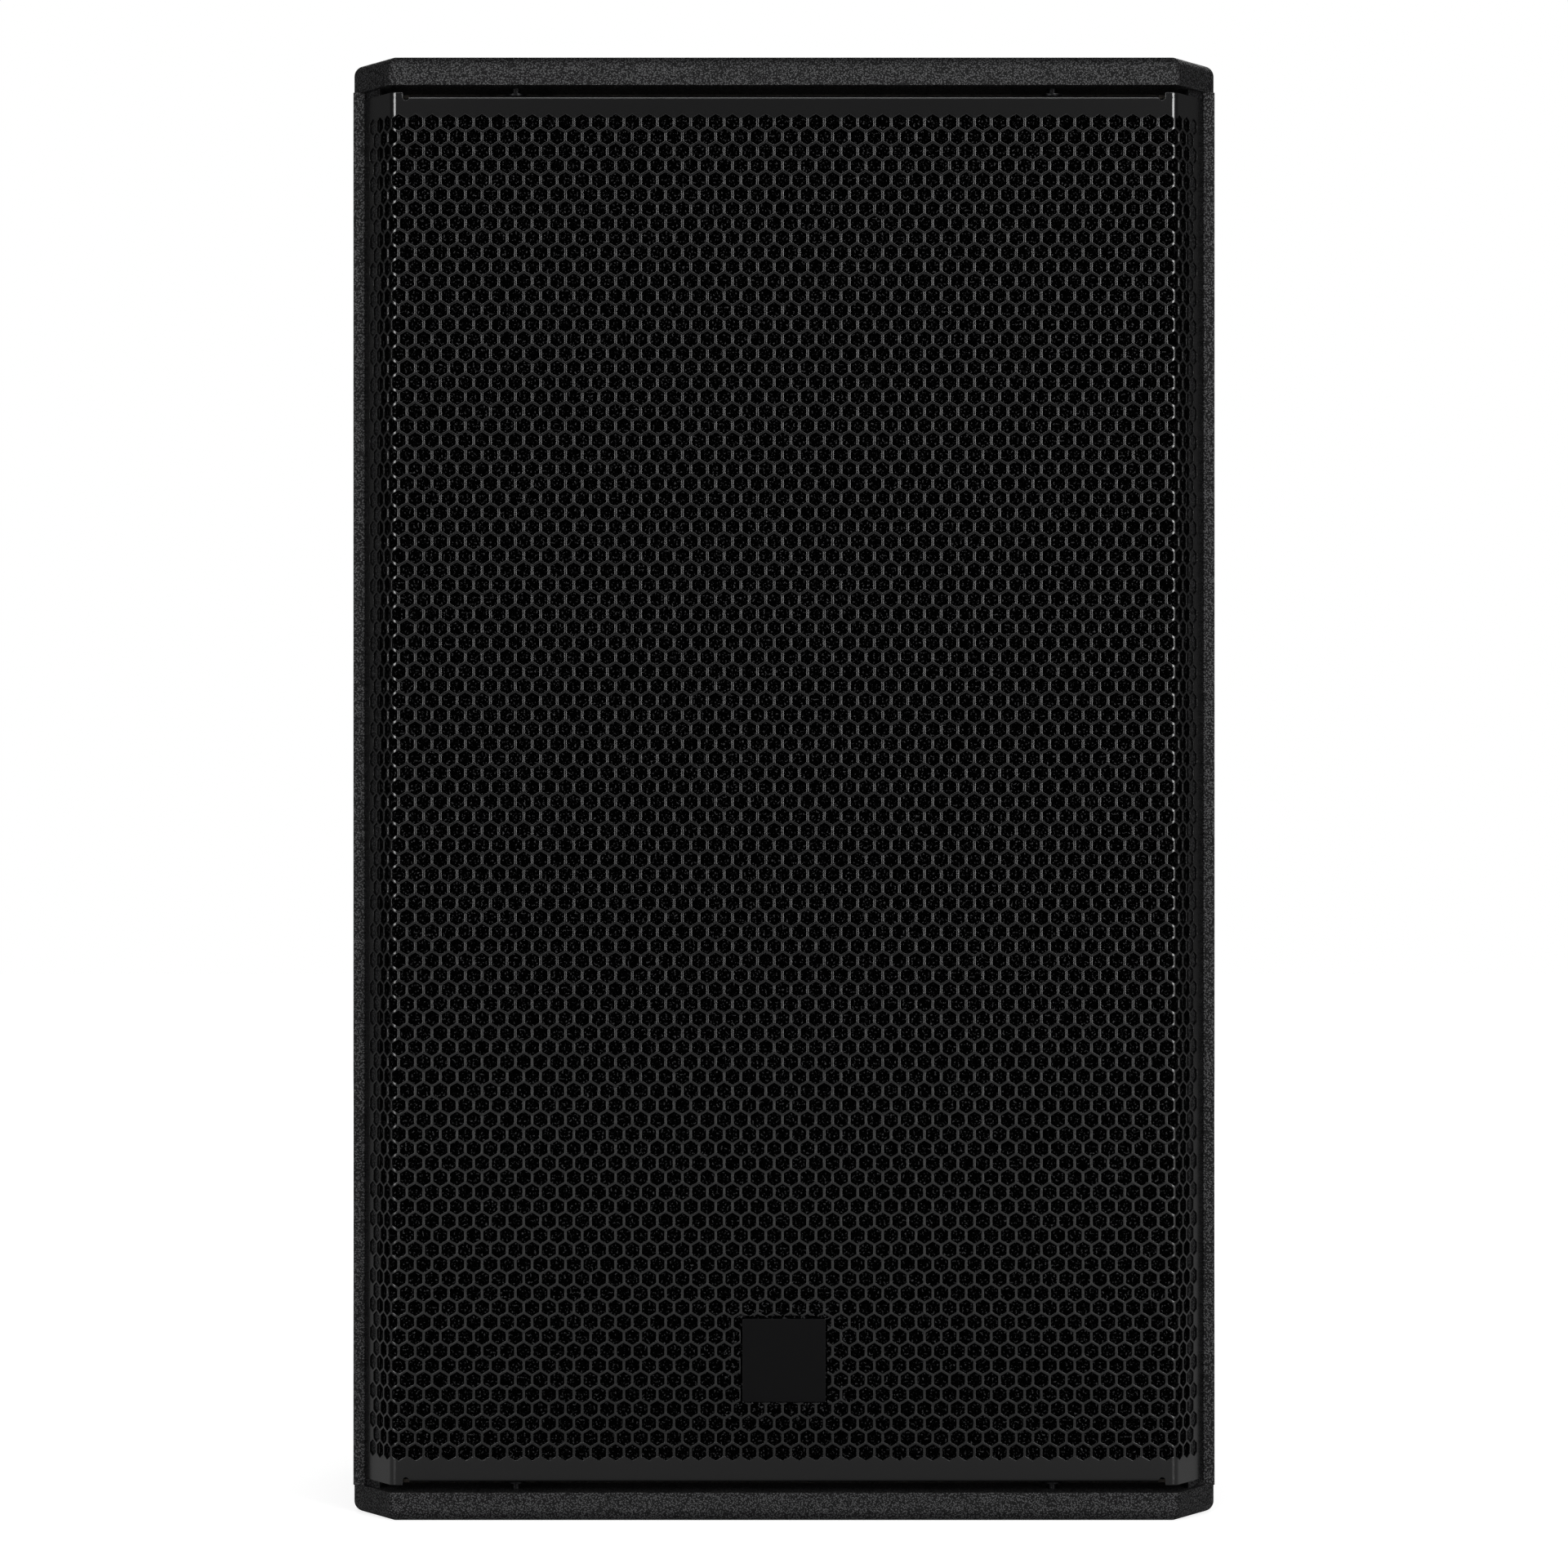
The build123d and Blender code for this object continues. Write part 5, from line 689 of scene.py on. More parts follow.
@dataclass
class Grille:
    """The folded sheet with its upright hexagons, its returns, notches and badge window."""

    sheet: float = 1.0
    front: float = -183.5
    low: float = 15.0
    high: float = 599.0
    pitch: float = 7.0
    hole: float = 6.0
    columns: int = 53
    rows: int = 93
    strip: int = 8
    lattice_x: float = -0.62
    lattice_z: float = 307.6
    bend_start: float = 162.74
    bend_radius: float = 3.1
    bend_angle: float = 60.0
    bend_near: float = 140.0
    leaf: float = 24.64
    fold_start: float = 289.3
    fold_radius: float = 1.6
    fold_near: float = 270.0
    return_flat: float = 16.4
    return_half: float = 157.25
    notch_x: float = 158.6
    notch_width: float = 2.7
    notch_depth: float = 3.3
    screw_x: float = 113.0
    screw_depth: float = 11.9
    screw_radius: float = 3.0
    screw_steps: int = 16
    window: tuple[float, float, float, float] = (-18.3, 18.3, 49.5, 86.1)
    bend_steps: int = 4
    slack: float = 0.01
    flatness: float = 0.02
    weld: float = 2e-6

    @property
    def middle(self) -> float:
        """Height of the sheet's middle."""
        return (self.low + self.high) / 2

    @property
    def half_height(self) -> float:
        """Half the height of the sheet's cut face."""
        return (self.high - self.low) / 2

    @property
    def row_pitch(self) -> float:
        """Distance between rows of holes."""
        return self.pitch * sqrt(3.0) / 2

    @property
    def half_width(self) -> float:
        """Half the developed width of the sheet."""
        return self.bend_start + self.bend_radius * radians(self.bend_angle) + self.leaf

    def seam(self, row: int) -> list[Pair]:
        """A zigzag between two rows of holes, from the left edge to the right one.

        Args:
            row: the row below it, counted from the lowest.

        Returns:
            Its points in sheet coordinates.
        """
        level = self.lattice_z - self.middle + (row - (self.rows - 1) / 2) * self.row_pitch
        count = self.columns - row % 2
        first = self.lattice_x - (count - 1) / 2 * self.pitch
        reach, step = self.pitch / sqrt(3.0), self.pitch / 2
        points = [(-self.half_width, level + 0.75 * reach)]
        for column in range(count):
            across = first + column * self.pitch
            points += [(across - step, level + reach / 2), (across, level + reach)]
        points.append((points[-1][0] + step, level + reach / 2))
        return [*points, (self.half_width, level + 0.75 * reach)]

    def top_edge(self) -> list[Pair]:
        """The blank's upper edge from left to right, with its notches and the flap between them."""
        tab = self.fold_start + self.fold_radius * pi / 2 + self.return_flat
        radius = self.notch_width / 2
        bed = self.half_height - self.notch_depth + radius
        turns = [radians(degrees) for degrees in range(0, 181, 30)]
        arc = [(self.notch_x + radius * cos(t), bed - radius * sin(t)) for t in turns]
        corners = [(self.half_width, self.half_height), (self.notch_x + radius, self.half_height)]
        right = [*corners, *arc, (self.return_half, tab)]
        return [(-u, v) for u, v in right] + right[::-1]

    def strips(self) -> list[list[Pair]]:
        """Loops that divide the blank between rows of holes, and the holes for the rivet nuts."""
        seams = [[(u, -v) for u, v in self.top_edge()]]
        rows = range(self.strip - 1, self.rows - self.strip, self.strip)
        seams += [self.seam(row) for row in rows]
        seams.append(self.top_edge())
        loops = [below + above[::-1] for below, above in zip(seams, seams[1:])]
        rivet_v = self.fold_start + self.fold_radius * (pi / 2 - 1) + self.screw_depth
        for side in (-1, 1):
            for end in (-1, 1):
                middle = (side * self.screw_x, end * rivet_v)
                loops.append(circle(middle, self.screw_radius, self.screw_steps))
        return loops

    def blank(self) -> Mesh:
        """The loops as edges."""
        mesh = bpy.data.meshes.new("blank")
        places: list[Point] = []
        edges = []
        for loop in self.strips():
            first = len(places)
            places += [(u * MM, v * MM, 0.0) for u, v in loop]
            edges += [(first + n, first + (n + 1) % len(loop)) for n in range(len(loop))]
        mesh.from_pydata(places, edges, [])
        return mesh

    def inputs(self) -> dict[str, Any]:
        """What the punching tree is run with."""
        return {
            "Pitch": self.pitch * MM, "Row Pitch": self.row_pitch * MM, "Hole": self.hole * MM,
            "Thickness": self.sheet * MM, "Columns": self.columns, "Rows": self.rows,
            "Strip": self.strip, "Across": self.lattice_x * MM,
            "Shift": (self.lattice_z - self.middle) * MM,
            "Material": FINISHES["grille_steel"].material(),
        }

    def punching_tree(self) -> Tree:
        """A tree that punches a flat blank with staggered hexagons and gives it its thickness."""
        takes = {"Blank": GEOMETRY, **self.inputs(), "Material": MATERIAL}
        group = Group("hexagon_punching", "GeometryNodeTree", takes, {"Sheet": GEOMETRY})
        take, math, first = group.take, group.math, group.first
        grids = []
        for odd in (1, 0):
            across = math("SUBTRACT", take["Columns"], 1 - odd)
            along = math("DIVIDE", math("ADD", take["Rows"], 2 * odd - 1), 2.0)
            rise = math("SUBTRACT", math("MULTIPLY", along, 2.0), 2.0)
            keys = {
                "Size X": math("MULTIPLY", take["Pitch"], math("SUBTRACT", across, 1.0)),
                "Size Y": math("MULTIPLY", take["Row Pitch"], rise),
                "Vertices X": across,
                "Vertices Y": along,
            }
            grids.append(first("GeometryNodeMeshGrid", keys))
        lift = first("ShaderNodeCombineXYZ", {"X": take["Across"], "Y": take["Shift"]})
        keys = {"Geometry": group.join(*grids), "Translation": lift}
        points = first("GeometryNodeTransform", keys)
        keys = {"Resolution": 6, "Radius": math("DIVIDE", take["Hole"], sqrt(3.0))}
        ring = first("GeometryNodeCurvePrimitiveCircle", keys)
        keys = {"Points": points, "Instance": ring, "Rotation": (0.0, 0.0, pi / 6)}
        holes = first("GeometryNodeInstanceOnPoints", keys)
        real = first("GeometryNodeRealizeInstances", {"Geometry": holes})
        loops = group.join(real, first("GeometryNodeMeshToCurve", {"Mesh": take["Blank"]}))
        place = first("GeometryNodeInputPosition")
        height = group.node("ShaderNodeSeparateXYZ", {0: place}).outputs["Y"]
        level = math("DIVIDE", math("SUBTRACT", height, take["Shift"]), take["Row Pitch"])
        level = math("ADD", level, math("DIVIDE", take["Rows"], 2.0))
        count = math("FLOOR", math("DIVIDE", take["Rows"], take["Strip"]))
        strip = math("MAXIMUM", math("FLOOR", math("DIVIDE", level, take["Strip"])), 0.0)
        strip = math("MINIMUM", strip, math("SUBTRACT", count, 1.0))
        filled = first("GeometryNodeFillCurve", {"Curve": loops, "Group ID": strip})
        sheet = first("GeometryNodeMergeByDistance", {"Geometry": filled, "Distance": self.weld})
        down = first("ShaderNodeCombineXYZ", {"Z": math("MULTIPLY", take["Thickness"], -1.0)})
        keys = {"Mesh": sheet, "Offset": down, "Offset Scale": 1.0, "Individual": False}
        whole = group.join(sheet, first("GeometryNodeExtrudeMesh", keys))
        welded = first("GeometryNodeMergeByDistance", {"Geometry": whole, "Distance": self.weld})
        solid = first("GeometryNodeRealizeInstances", {"Geometry": welded})
        keys = {"Geometry": solid, "Material": take["Material"]}
        return group.give(Sheet=first("GeometryNodeSetMaterial", keys))

    def fold(self, u: float, v: float, w: float) -> Point:
        """Place of a point of the flat sheet once it is folded.

        Args:
            u: distance across the sheet from its middle.
            v: distance up the sheet from its middle.
            w: depth below the sheet's front.

        Returns:
            The point in metres.
        """
        side, end = (1 if u >= 0 else -1), (1 if v >= 0 else -1)
        across, along = abs(u), abs(v)
        x, y, z = across, w, along
        if across > self.bend_start:
            turn = min((across - self.bend_start) / self.bend_radius, radians(self.bend_angle))
            past = across - self.bend_start - self.bend_radius * turn
            x = self.bend_start + (self.bend_radius - w) * sin(turn) + past * cos(turn)
            y = self.bend_radius - (self.bend_radius - w) * cos(turn) + past * sin(turn)
        elif across <= self.return_half + self.slack and along > self.fold_start:
            turn = min((along - self.fold_start) / self.fold_radius, pi / 2)
            past = along - self.fold_start - self.fold_radius * turn
            z = self.fold_start + (self.fold_radius - w) * sin(turn)
            y = self.fold_radius - (self.fold_radius - w) * cos(turn) + past
        return (side * x * MM, (self.front + y) * MM, (self.middle + end * z) * MM)

    @staticmethod
    def cut(build: Build, axis: int, places: Sequence[float], faces: list[Any]) -> None:
        """Cuts new edges where planes across one axis cross some faces.

        Args:
            build: the flat sheet.
            axis: 0 cuts across u and 1 across v.
            places: where each plane crosses the axis, in millimetres.
            faces: the faces near the planes.
        """
        edges = [edge for face in faces for edge in face.edges]
        corners = [corner for face in faces for corner in face.verts]
        parts = list(dict.fromkeys([*faces, *edges, *corners]))
        for place in places:
            at, normal = [0.0, 0.0, 0.0], [0.0, 0.0, 0.0]
            at[axis], normal[axis] = place * MM, 1.0
            plane = {"plane_co": at, "plane_no": normal}
            parts = bmesh.ops.bisect_plane(build, geom=parts, dist=1e-7, **plane)["geom"]

    def crease(self, build: Build) -> None:
        """Cuts the edges along which the flat sheet curls at its bends and its folds."""
        arc = self.bend_radius * radians(self.bend_angle) / self.bend_steps
        curl = self.fold_radius * pi / 2 / self.bend_steps
        bends = (self.bend_start, arc, self.bend_near)
        folds = (self.fold_start, curl, self.fold_near)
        for side in (-1, 1):
            for axis, (start, step, near) in enumerate((bends, folds)):
                places = [side * (start + step * n) for n in range(self.bend_steps + 1)]
                faces = [f for f in build.faces if f.calc_center_bounds()[axis] * side > near * MM]
                self.cut(build, axis, places, faces)

    def open_window(self, build: Build) -> None:
        """Opens the badge's window and closes the cut edges round it."""
        left, right, low, high = self.window
        low, high = low - self.middle, high - self.middle

        def inside(c: Vector, margin: float = 0.0) -> bool:
            """Whether a point lies in the window, widened by a margin."""
            across = (left - margin) * MM < c.x < (right + margin) * MM
            return across and (low - margin) * MM < c.y < (high + margin) * MM

        for axis, places in enumerate(((left, right), (low, high))):
            faces = [f for f in build.faces if inside(f.calc_center_bounds(), 2 * self.pitch)]
            self.cut(build, axis, places, faces)
        opened = [f for f in build.faces if inside(f.calc_center_median())]
        bmesh.ops.delete(build, geom=opened, context="FACES")
        bmesh.ops.holes_fill(build, edges=[e for e in build.edges if e.is_boundary], sides=0)

    def shade(self, mesh: Mesh) -> None:
        """Shades the bends and folds smooth, but not the leaves and returns that they lead to."""
        slant = cos(radians(self.bend_angle))
        curved_z = self.half_height - self.fold_radius
        for polygon in mesh.polygons:
            bent = abs(polygon.center.x) > self.bend_start * MM
            folded = abs(polygon.center.z - self.middle * MM) > curved_z * MM
            side = polygon.normal.x if bent else polygon.normal.z
            leaf = abs(abs(polygon.normal.y) - slant) < self.flatness
            polygon.use_smooth = (bent or folded) and not leaf and abs(side) >= self.flatness
        sharpen(mesh)

    def make(self) -> None:
        """Punches, trims, folds and dresses the sheet."""
        build = bmesh.new()
        build.from_mesh(run_tree(self.punching_tree(), self.inputs(), self.blank()))
        self.crease(build)
        self.open_window(build)
        bmesh.ops.triangulate(build, faces=[f for f in build.faces if len(f.verts) > 4])
        for vertex in build.verts:
            u, v, w = (c / MM for c in vertex.co)
            vertex.co = self.fold(u, v, -w)
        mesh = mesh_of(build, "perforated_grille")
        self.shade(mesh)
        settle("perforated_grille", mesh, "grille_steel", "grille")


# ---------------------------------------------------------------- soft pieces


def skinned(rings: Sequence[Sequence[Point]], name: str) -> Mesh:
    """Skins rings of points with quads and closes both ends.

    Args:
        rings: rings of equally many points, in millimetres.
        name: the mesh's name.

    Returns:
        The mesh, in metres.
    """
    build = bmesh.new()
    made = [[build.verts.new([c * MM for c in point]) for point in ring] for ring in rings]
    for ring, following in zip(made, made[1:]):
        for n, corner in enumerate(ring):
            ahead = (n + 1) % len(ring)
            build.faces.new([corner, ring[ahead], following[ahead], following[n]])
    build.faces.new(made[0][::-1])
    build.faces.new(made[-1])
    return mesh_of(build, name, smooth=True)


@dataclass
class FoamLining:
    """The open-cell foam behind the grille, folded at its sides and cut out round the badge."""

    front: float = -182.2
    back: float = -176.2
    fold_front: float = 163.78
    fold_back: float = 160.32
    edge_front: Pair = (169.9, -171.6)
    edge_back: Pair = (164.72, -168.6)
    low: float = 17.45
    high: float = 596.55
    window_half: float = 26.65
    window_z: float = 67.3
    columns: int = 40
    rows: int = 66
    window_columns: int = 6
    window_rows: int = 8
    rows_below: int = 5

    def across(self) -> list[float]:
        """Places across the front, which fall on the window's edges."""
        half, last = self.window_half, self.window_columns
        sides = divided(half, self.fold_front, self.columns)
        inner = [half * n / last for n in range(1 - last, last)]
        return [-x for x in sides[::-1]] + inner + sides

    def heights(self) -> list[float]:
        """Places up the sheet, which fall on the window's edges."""
        low, high = self.window_z - self.window_half, self.window_z + self.window_half
        below, above = divided(self.low, low, self.rows_below), divided(high, self.high, self.rows)
        return below + divided(low, high, self.window_rows)[1:-1] + above

    def make(self) -> None:
        """Builds the two faces with their fold and joins them round every edge."""
        build = bmesh.new()
        scale = self.fold_back / self.fold_front
        inner = [x if abs(x) <= self.window_half + 1e-6 else x * scale for x in self.across()]
        front_x = [-self.edge_front[0], *self.across(), self.edge_front[0]]
        back_x = [-self.edge_back[0], *inner, self.edge_back[0]]
        last = len(front_x) - 1
        heights = self.heights()
        faces = []
        levels = ((front_x, self.front, self.edge_front[1]), (back_x, self.back, self.edge_back[1]))
        for xs, y, edge_y in levels:
            places = [(x, edge_y if n in (0, last) else y) for n, x in enumerate(xs)]
            rows = [[(x * MM, y * MM, z * MM) for x, y in places] for z in heights]
            faces.append([[build.verts.new(place) for place in row] for row in rows])
        for face in faces:
            for row in range(len(heights) - 1):
                for column in range(last):
                    x = (front_x[column] + front_x[column + 1]) / 2
                    z = (heights[row] + heights[row + 1]) / 2
                    if max(abs(x), abs(z - self.window_z)) > self.window_half:
                        low, high = (face[n][column : column + 2] for n in (row, row + 1))
                        build.faces.new([*low, *high[::-1]])
        pairs = {}
        for row_front, row_back in zip(*faces):
            pairs.update(zip(row_front, row_back))
        for edge in [e for e in build.edges if e.is_boundary]:
            one, two = edge.verts
            if one in pairs and two in pairs:
                build.faces.new([one, two, pairs[two], pairs[one]])
        bmesh.ops.delete(build, geom=[v for v in build.verts if not v.link_faces], context="VERTS")
        lining = settle("foam_lining", mesh_of(build, "foam_lining"), "grille_foam", "grille_foam")


@dataclass
class Wadding:
    """Loose fibre pads against the side walls and under the top."""

    side_x: float = 160.2
    side_half: Point = (9.6, 70.0, 134.0)
    side_y: float = -55.2
    side_z: float = 159.8
    top_half: Point = (72.0, 114.8, 9.6)
    top_y: float = -10.1
    top_z: float = 591.7
    squareness: float = 5.0
    lump: float = 0.1
    rings: int = 34
    steps: int = 56

    def pad(self, name: str, center: Point, half: Point, phase: float) -> None:
        """Makes one lumpy pad inside a box.

        Args:
            name: the piece's name.
            center: middle of the box.
            half: half sizes of the box.
            phase: shifts the lumps so that no two pads are alike.
        """
        rings = []
        thin = half.index(min(half))
        for ring in range(1, self.rings):
            rise = -pi / 2 + pi * ring / self.rings
            wide, up = squared(cos(rise), self.squareness), squared(sin(rise), self.squareness)
            points = []
            for step in range(self.steps):
                turn = 2 * pi * step / self.steps
                bent = [squared(part, self.squareness) for part in (cos(turn), sin(turn))]
                waves = sin(5 * turn + phase) * cos(4 * rise) + sin(9 * rise + 2 * turn + phase)
                lumpy = 1.0 + self.lump * (waves - 2.0)
                sizes = [h * (lumpy if axis == thin else 1.0) for axis, h in enumerate(half)]
                unit = (wide * bent[0], wide * bent[1], up)
                points.append(tuple(c + u * h for c, u, h in zip(center, unit, sizes)))
            rings.append(points)
        made = settle(name, skinned(rings, name), "wadding_fibre", "acoustic_wadding")

    def make(self) -> None:
        """Makes the three pads."""
        self.pad("wadding_left", (-self.side_x, self.side_y, self.side_z), self.side_half, 0.4)
        self.pad("wadding_right", (self.side_x, self.side_y, self.side_z), self.side_half, 2.1)
        self.pad("wadding_top", (0.0, self.top_y, self.top_z), self.top_half, 3.7)


@dataclass
class WooferCloth:
    """The half-roll surround and the corrugated spider, turned about the woofer's axis."""

    center_z: float = 175.0
    front: float = -185.0
    steps: int = 144
    roll: Pair = (122.0, 136.0)
    roll_steps: int = 14
    roll_rise: float = 8.0
    crown_slack: float = 0.1
    surround_edges: Pair = (119.7, 144.7)
    surround_back: float = 26.8
    surround_front: float = 25.6
    surround_step: float = 0.05
    spider: Pair = (32.7, 81.7)
    spider_hold: float = 2.0
    spider_flat: float = 4.0
    spider_depth: float = 80.9
    spider_wave: float = 1.05
    spider_waves: int = 3
    spider_sheet: float = 0.8
    wave_steps: int = 12

    def turn(
        self, name: str, profile: list[Pair], node: str, finish: Finish | None = None
    ) -> Object:
        """Turns a closed profile about the woofer's axis.

        Args:
            name: the piece's name.
            profile: its closed outline, as (radius, depth).
            node: the CAD node that it stands for.
            finish: its finish, where that isn't its slot's.

        Returns:
            The piece, before it is blended between the two bodies.
        """
        build = turned([(radius, -depth) for radius, depth in profile], self.steps)
        bmesh.ops.rotate(build, verts=build.verts, matrix=Matrix.Rotation(pi / 2, 3, "X"))
        bmesh.ops.translate(build, verts=build.verts, vec=(0, self.front * MM, self.center_z * MM))
        mesh = mesh_of(build, name, smooth=True)
        return settle(name, mesh, "treated_cloth", node, body=None, finish=finish)

    def hang(self, piece: Object, inner: float, outer: float) -> None:
        """Lets the piece follow the cone inside one radius and the chassis outside another.

        Args:
            piece: the turned piece.
            inner: radius up to which it moves with the cone.
            outer: radius from which it stays with the chassis.
        """
        middle = (0.0, self.front * MM, self.center_z * MM)
        start = (outer * MM, middle[1], middle[2])
        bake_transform(piece, Body.CABINET.value, Body.WOOFER.value, start, middle)
        weights = piece.data.attributes["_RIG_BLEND"]
        for vertex, weight in zip(piece.data.vertices, weights.data):
            radius = hypot(vertex.co.x, vertex.co.z - middle[2]) / MM
            share = min(max((outer - radius) / (outer - inner), 0.0), 1.0)
            weight.value = share * share * (3 - 2 * share)

    def surround(self) -> Object:
        """The rubbery cloth half-roll between cone and basket."""
        inner, outer = self.roll
        middle, half = (inner + outer) / 2, (outer - inner) / 2
        front, back, rise = self.surround_front, self.surround_back, self.roll_rise
        sheet = back - front
        turns = divided(0.0, pi, self.roll_steps)
        over = [(middle - half * cos(t), front - rise * sin(t)) for t in turns]
        lower = rise - self.crown_slack
        under = [(middle - (half - sheet) * cos(t), back - lower * sin(t)) for t in turns]
        low, high = self.surround_edges
        level = front + self.surround_step
        profile = [(low, level), *over, (high, level), (high, back), *under[::-1], (low, back)]
        return self.turn("surround_roll", profile, "woofer_surround", COATED_CLOTH)

    def corrugated(self) -> Object:
        """The spider, a treated cloth ring with rounded corrugations."""
        inner, outer = self.spider

        def level(radius: float) -> float:
            """Depth of the cloth's middle at a radius."""
            share = (radius - inner - self.spider_flat) / (outer - inner - 2 * self.spider_flat)
            if not 0.0 < share < 1.0:
                return self.spider_depth
            return self.spider_depth + self.spider_wave * sin(2 * pi * self.spider_waves * share)

        radii = divided(inner, outer, self.spider_waves * self.wave_steps)
        half = self.spider_sheet / 2
        front = [(radius, level(radius) - half) for radius in radii]
        back = [(radius, level(radius) + half) for radius in radii[::-1]]
        return self.turn("spider_cloth", front + back, "woofer_spider")

    def make(self) -> None:
        """Makes both and hangs them between the two bodies."""
        surround, spider = self.surround(), self.corrugated()
        self.hang(surround, *self.roll)
        self.hang(spider, self.spider[0] + self.spider_hold, self.spider[1] - self.spider_hold)


@dataclass
class HandleGrips:
    """Rubber sleeves with raised rings, one round each recessed handle bar."""

    bar_x: float = 173.3
    bar_z: float = 447.87
    start: float = -127.1
    end: float = 2.7
    half_width: float = 6.95
    half_height: float = 9.95
    squareness: float = 3.0
    ribs: int = 17
    rib_marks: tuple[Pair, ...] = ((0.15, 0.9), (0.45, 0.9), (0.6, 0.0), (1.0, 0.0))
    chamfer: float = 0.5
    plain_end: float = 14.0
    steps: int = 28

    def ring(self, side: int, y: float, shrink: float) -> list[Point]:
        """One ring of points round the bar.

        Args:
            side: -1 for the left bar and 1 for the right one.
            y: where the ring lies along the bar.
            shrink: how far it lies inside the sleeve's outline.

        Returns:
            The points.
        """
        wide, tall = self.half_width - shrink, self.half_height - shrink
        points = []
        for x, z in circle((0.0, 0.0), 1.0, self.steps):
            u, v = squared(x, self.squareness), squared(z, self.squareness)
            points.append((side * self.bar_x + wide * u, y, self.bar_z + tall * v))
        return points

    def make(self) -> None:
        """Makes both sleeves as one piece."""
        first, last = self.start + self.plain_end, self.end - self.plain_end
        pitch = (last - first) / self.ribs
        levels = [(self.start, self.chamfer), (self.start + self.chamfer, 0.0), (first, 0.0)]
        for rib in range(self.ribs):
            levels += [(first + pitch * (rib + share), depth) for share, depth in self.rib_marks]
        levels += [(self.end - self.chamfer, 0.0), (self.end, self.chamfer)]
        whole = bmesh.new()
        for side in (-1, 1):
            sleeve = skinned([self.ring(side, y, shrink) for y, shrink in levels], "sleeve")
            whole.from_mesh(sleeve)
            bpy.data.meshes.remove(sleeve)
        mesh = mesh_of(whole, "ribbed_grips", smooth=True)
        sharpen(mesh)
        settle("ribbed_grips", mesh, "grip_rubber", "handle_grips")


# ---------------------------------------------------------------- screws and threads


def stood(group: Group, copy: Socket, spin: Socket | None = None) -> Tree:
    """Ends a tree by standing a copy on each seat, turned the way that the seat faces.

    Args:
        group: the tree, which takes Seats and a Material and gives Copies.
        copy: what is stood on the seats.
        spin: its turn about its own axis, if it has one.

    Returns:
        The finished tree.
    """
    keys = {"Name": "facing"}
    facing = group.first("GeometryNodeInputNamedAttribute", keys, data_type="FLOAT_VECTOR")
    turn = group.first("FunctionNodeAlignRotationToVector", {"Vector": facing}, axis="Z")
    if spin is not None:
        turn = group.first("FunctionNodeRotateRotation", {0: turn, 1: spin}, rotation_space="LOCAL")
    keys = {"Points": group.take["Seats"], "Instance": copy, "Rotation": turn}
    copies = group.first("GeometryNodeInstanceOnPoints", keys)
    real = group.first("GeometryNodeRealizeInstances", {"Geometry": copies})
    keys = {"Geometry": real, "Material": group.take["Material"]}
    return group.give(Copies=group.first("GeometryNodeSetMaterial", keys))


def run_on_seats(tree: Tree, seats: Sequence[Seat], values: dict[str, Any]) -> Mesh:
    """Runs a tree on points that each carry the direction they face.

    Args:
        tree: the tree.
        seats: place in millimetres and direction of each point.
        values: the tree's other inputs.

    Returns:
        The evaluated mesh.
    """
    points = bpy.data.meshes.new("seats")
    points.from_pydata([[c * MM for c in place] for place, _ in seats], [], [])
    facing = points.attributes.new("facing", "FLOAT_VECTOR", "POINT")
    facing.data.foreach_set("vector", [c for _, way in seats for c in way])
    return run_tree(tree, values, points)


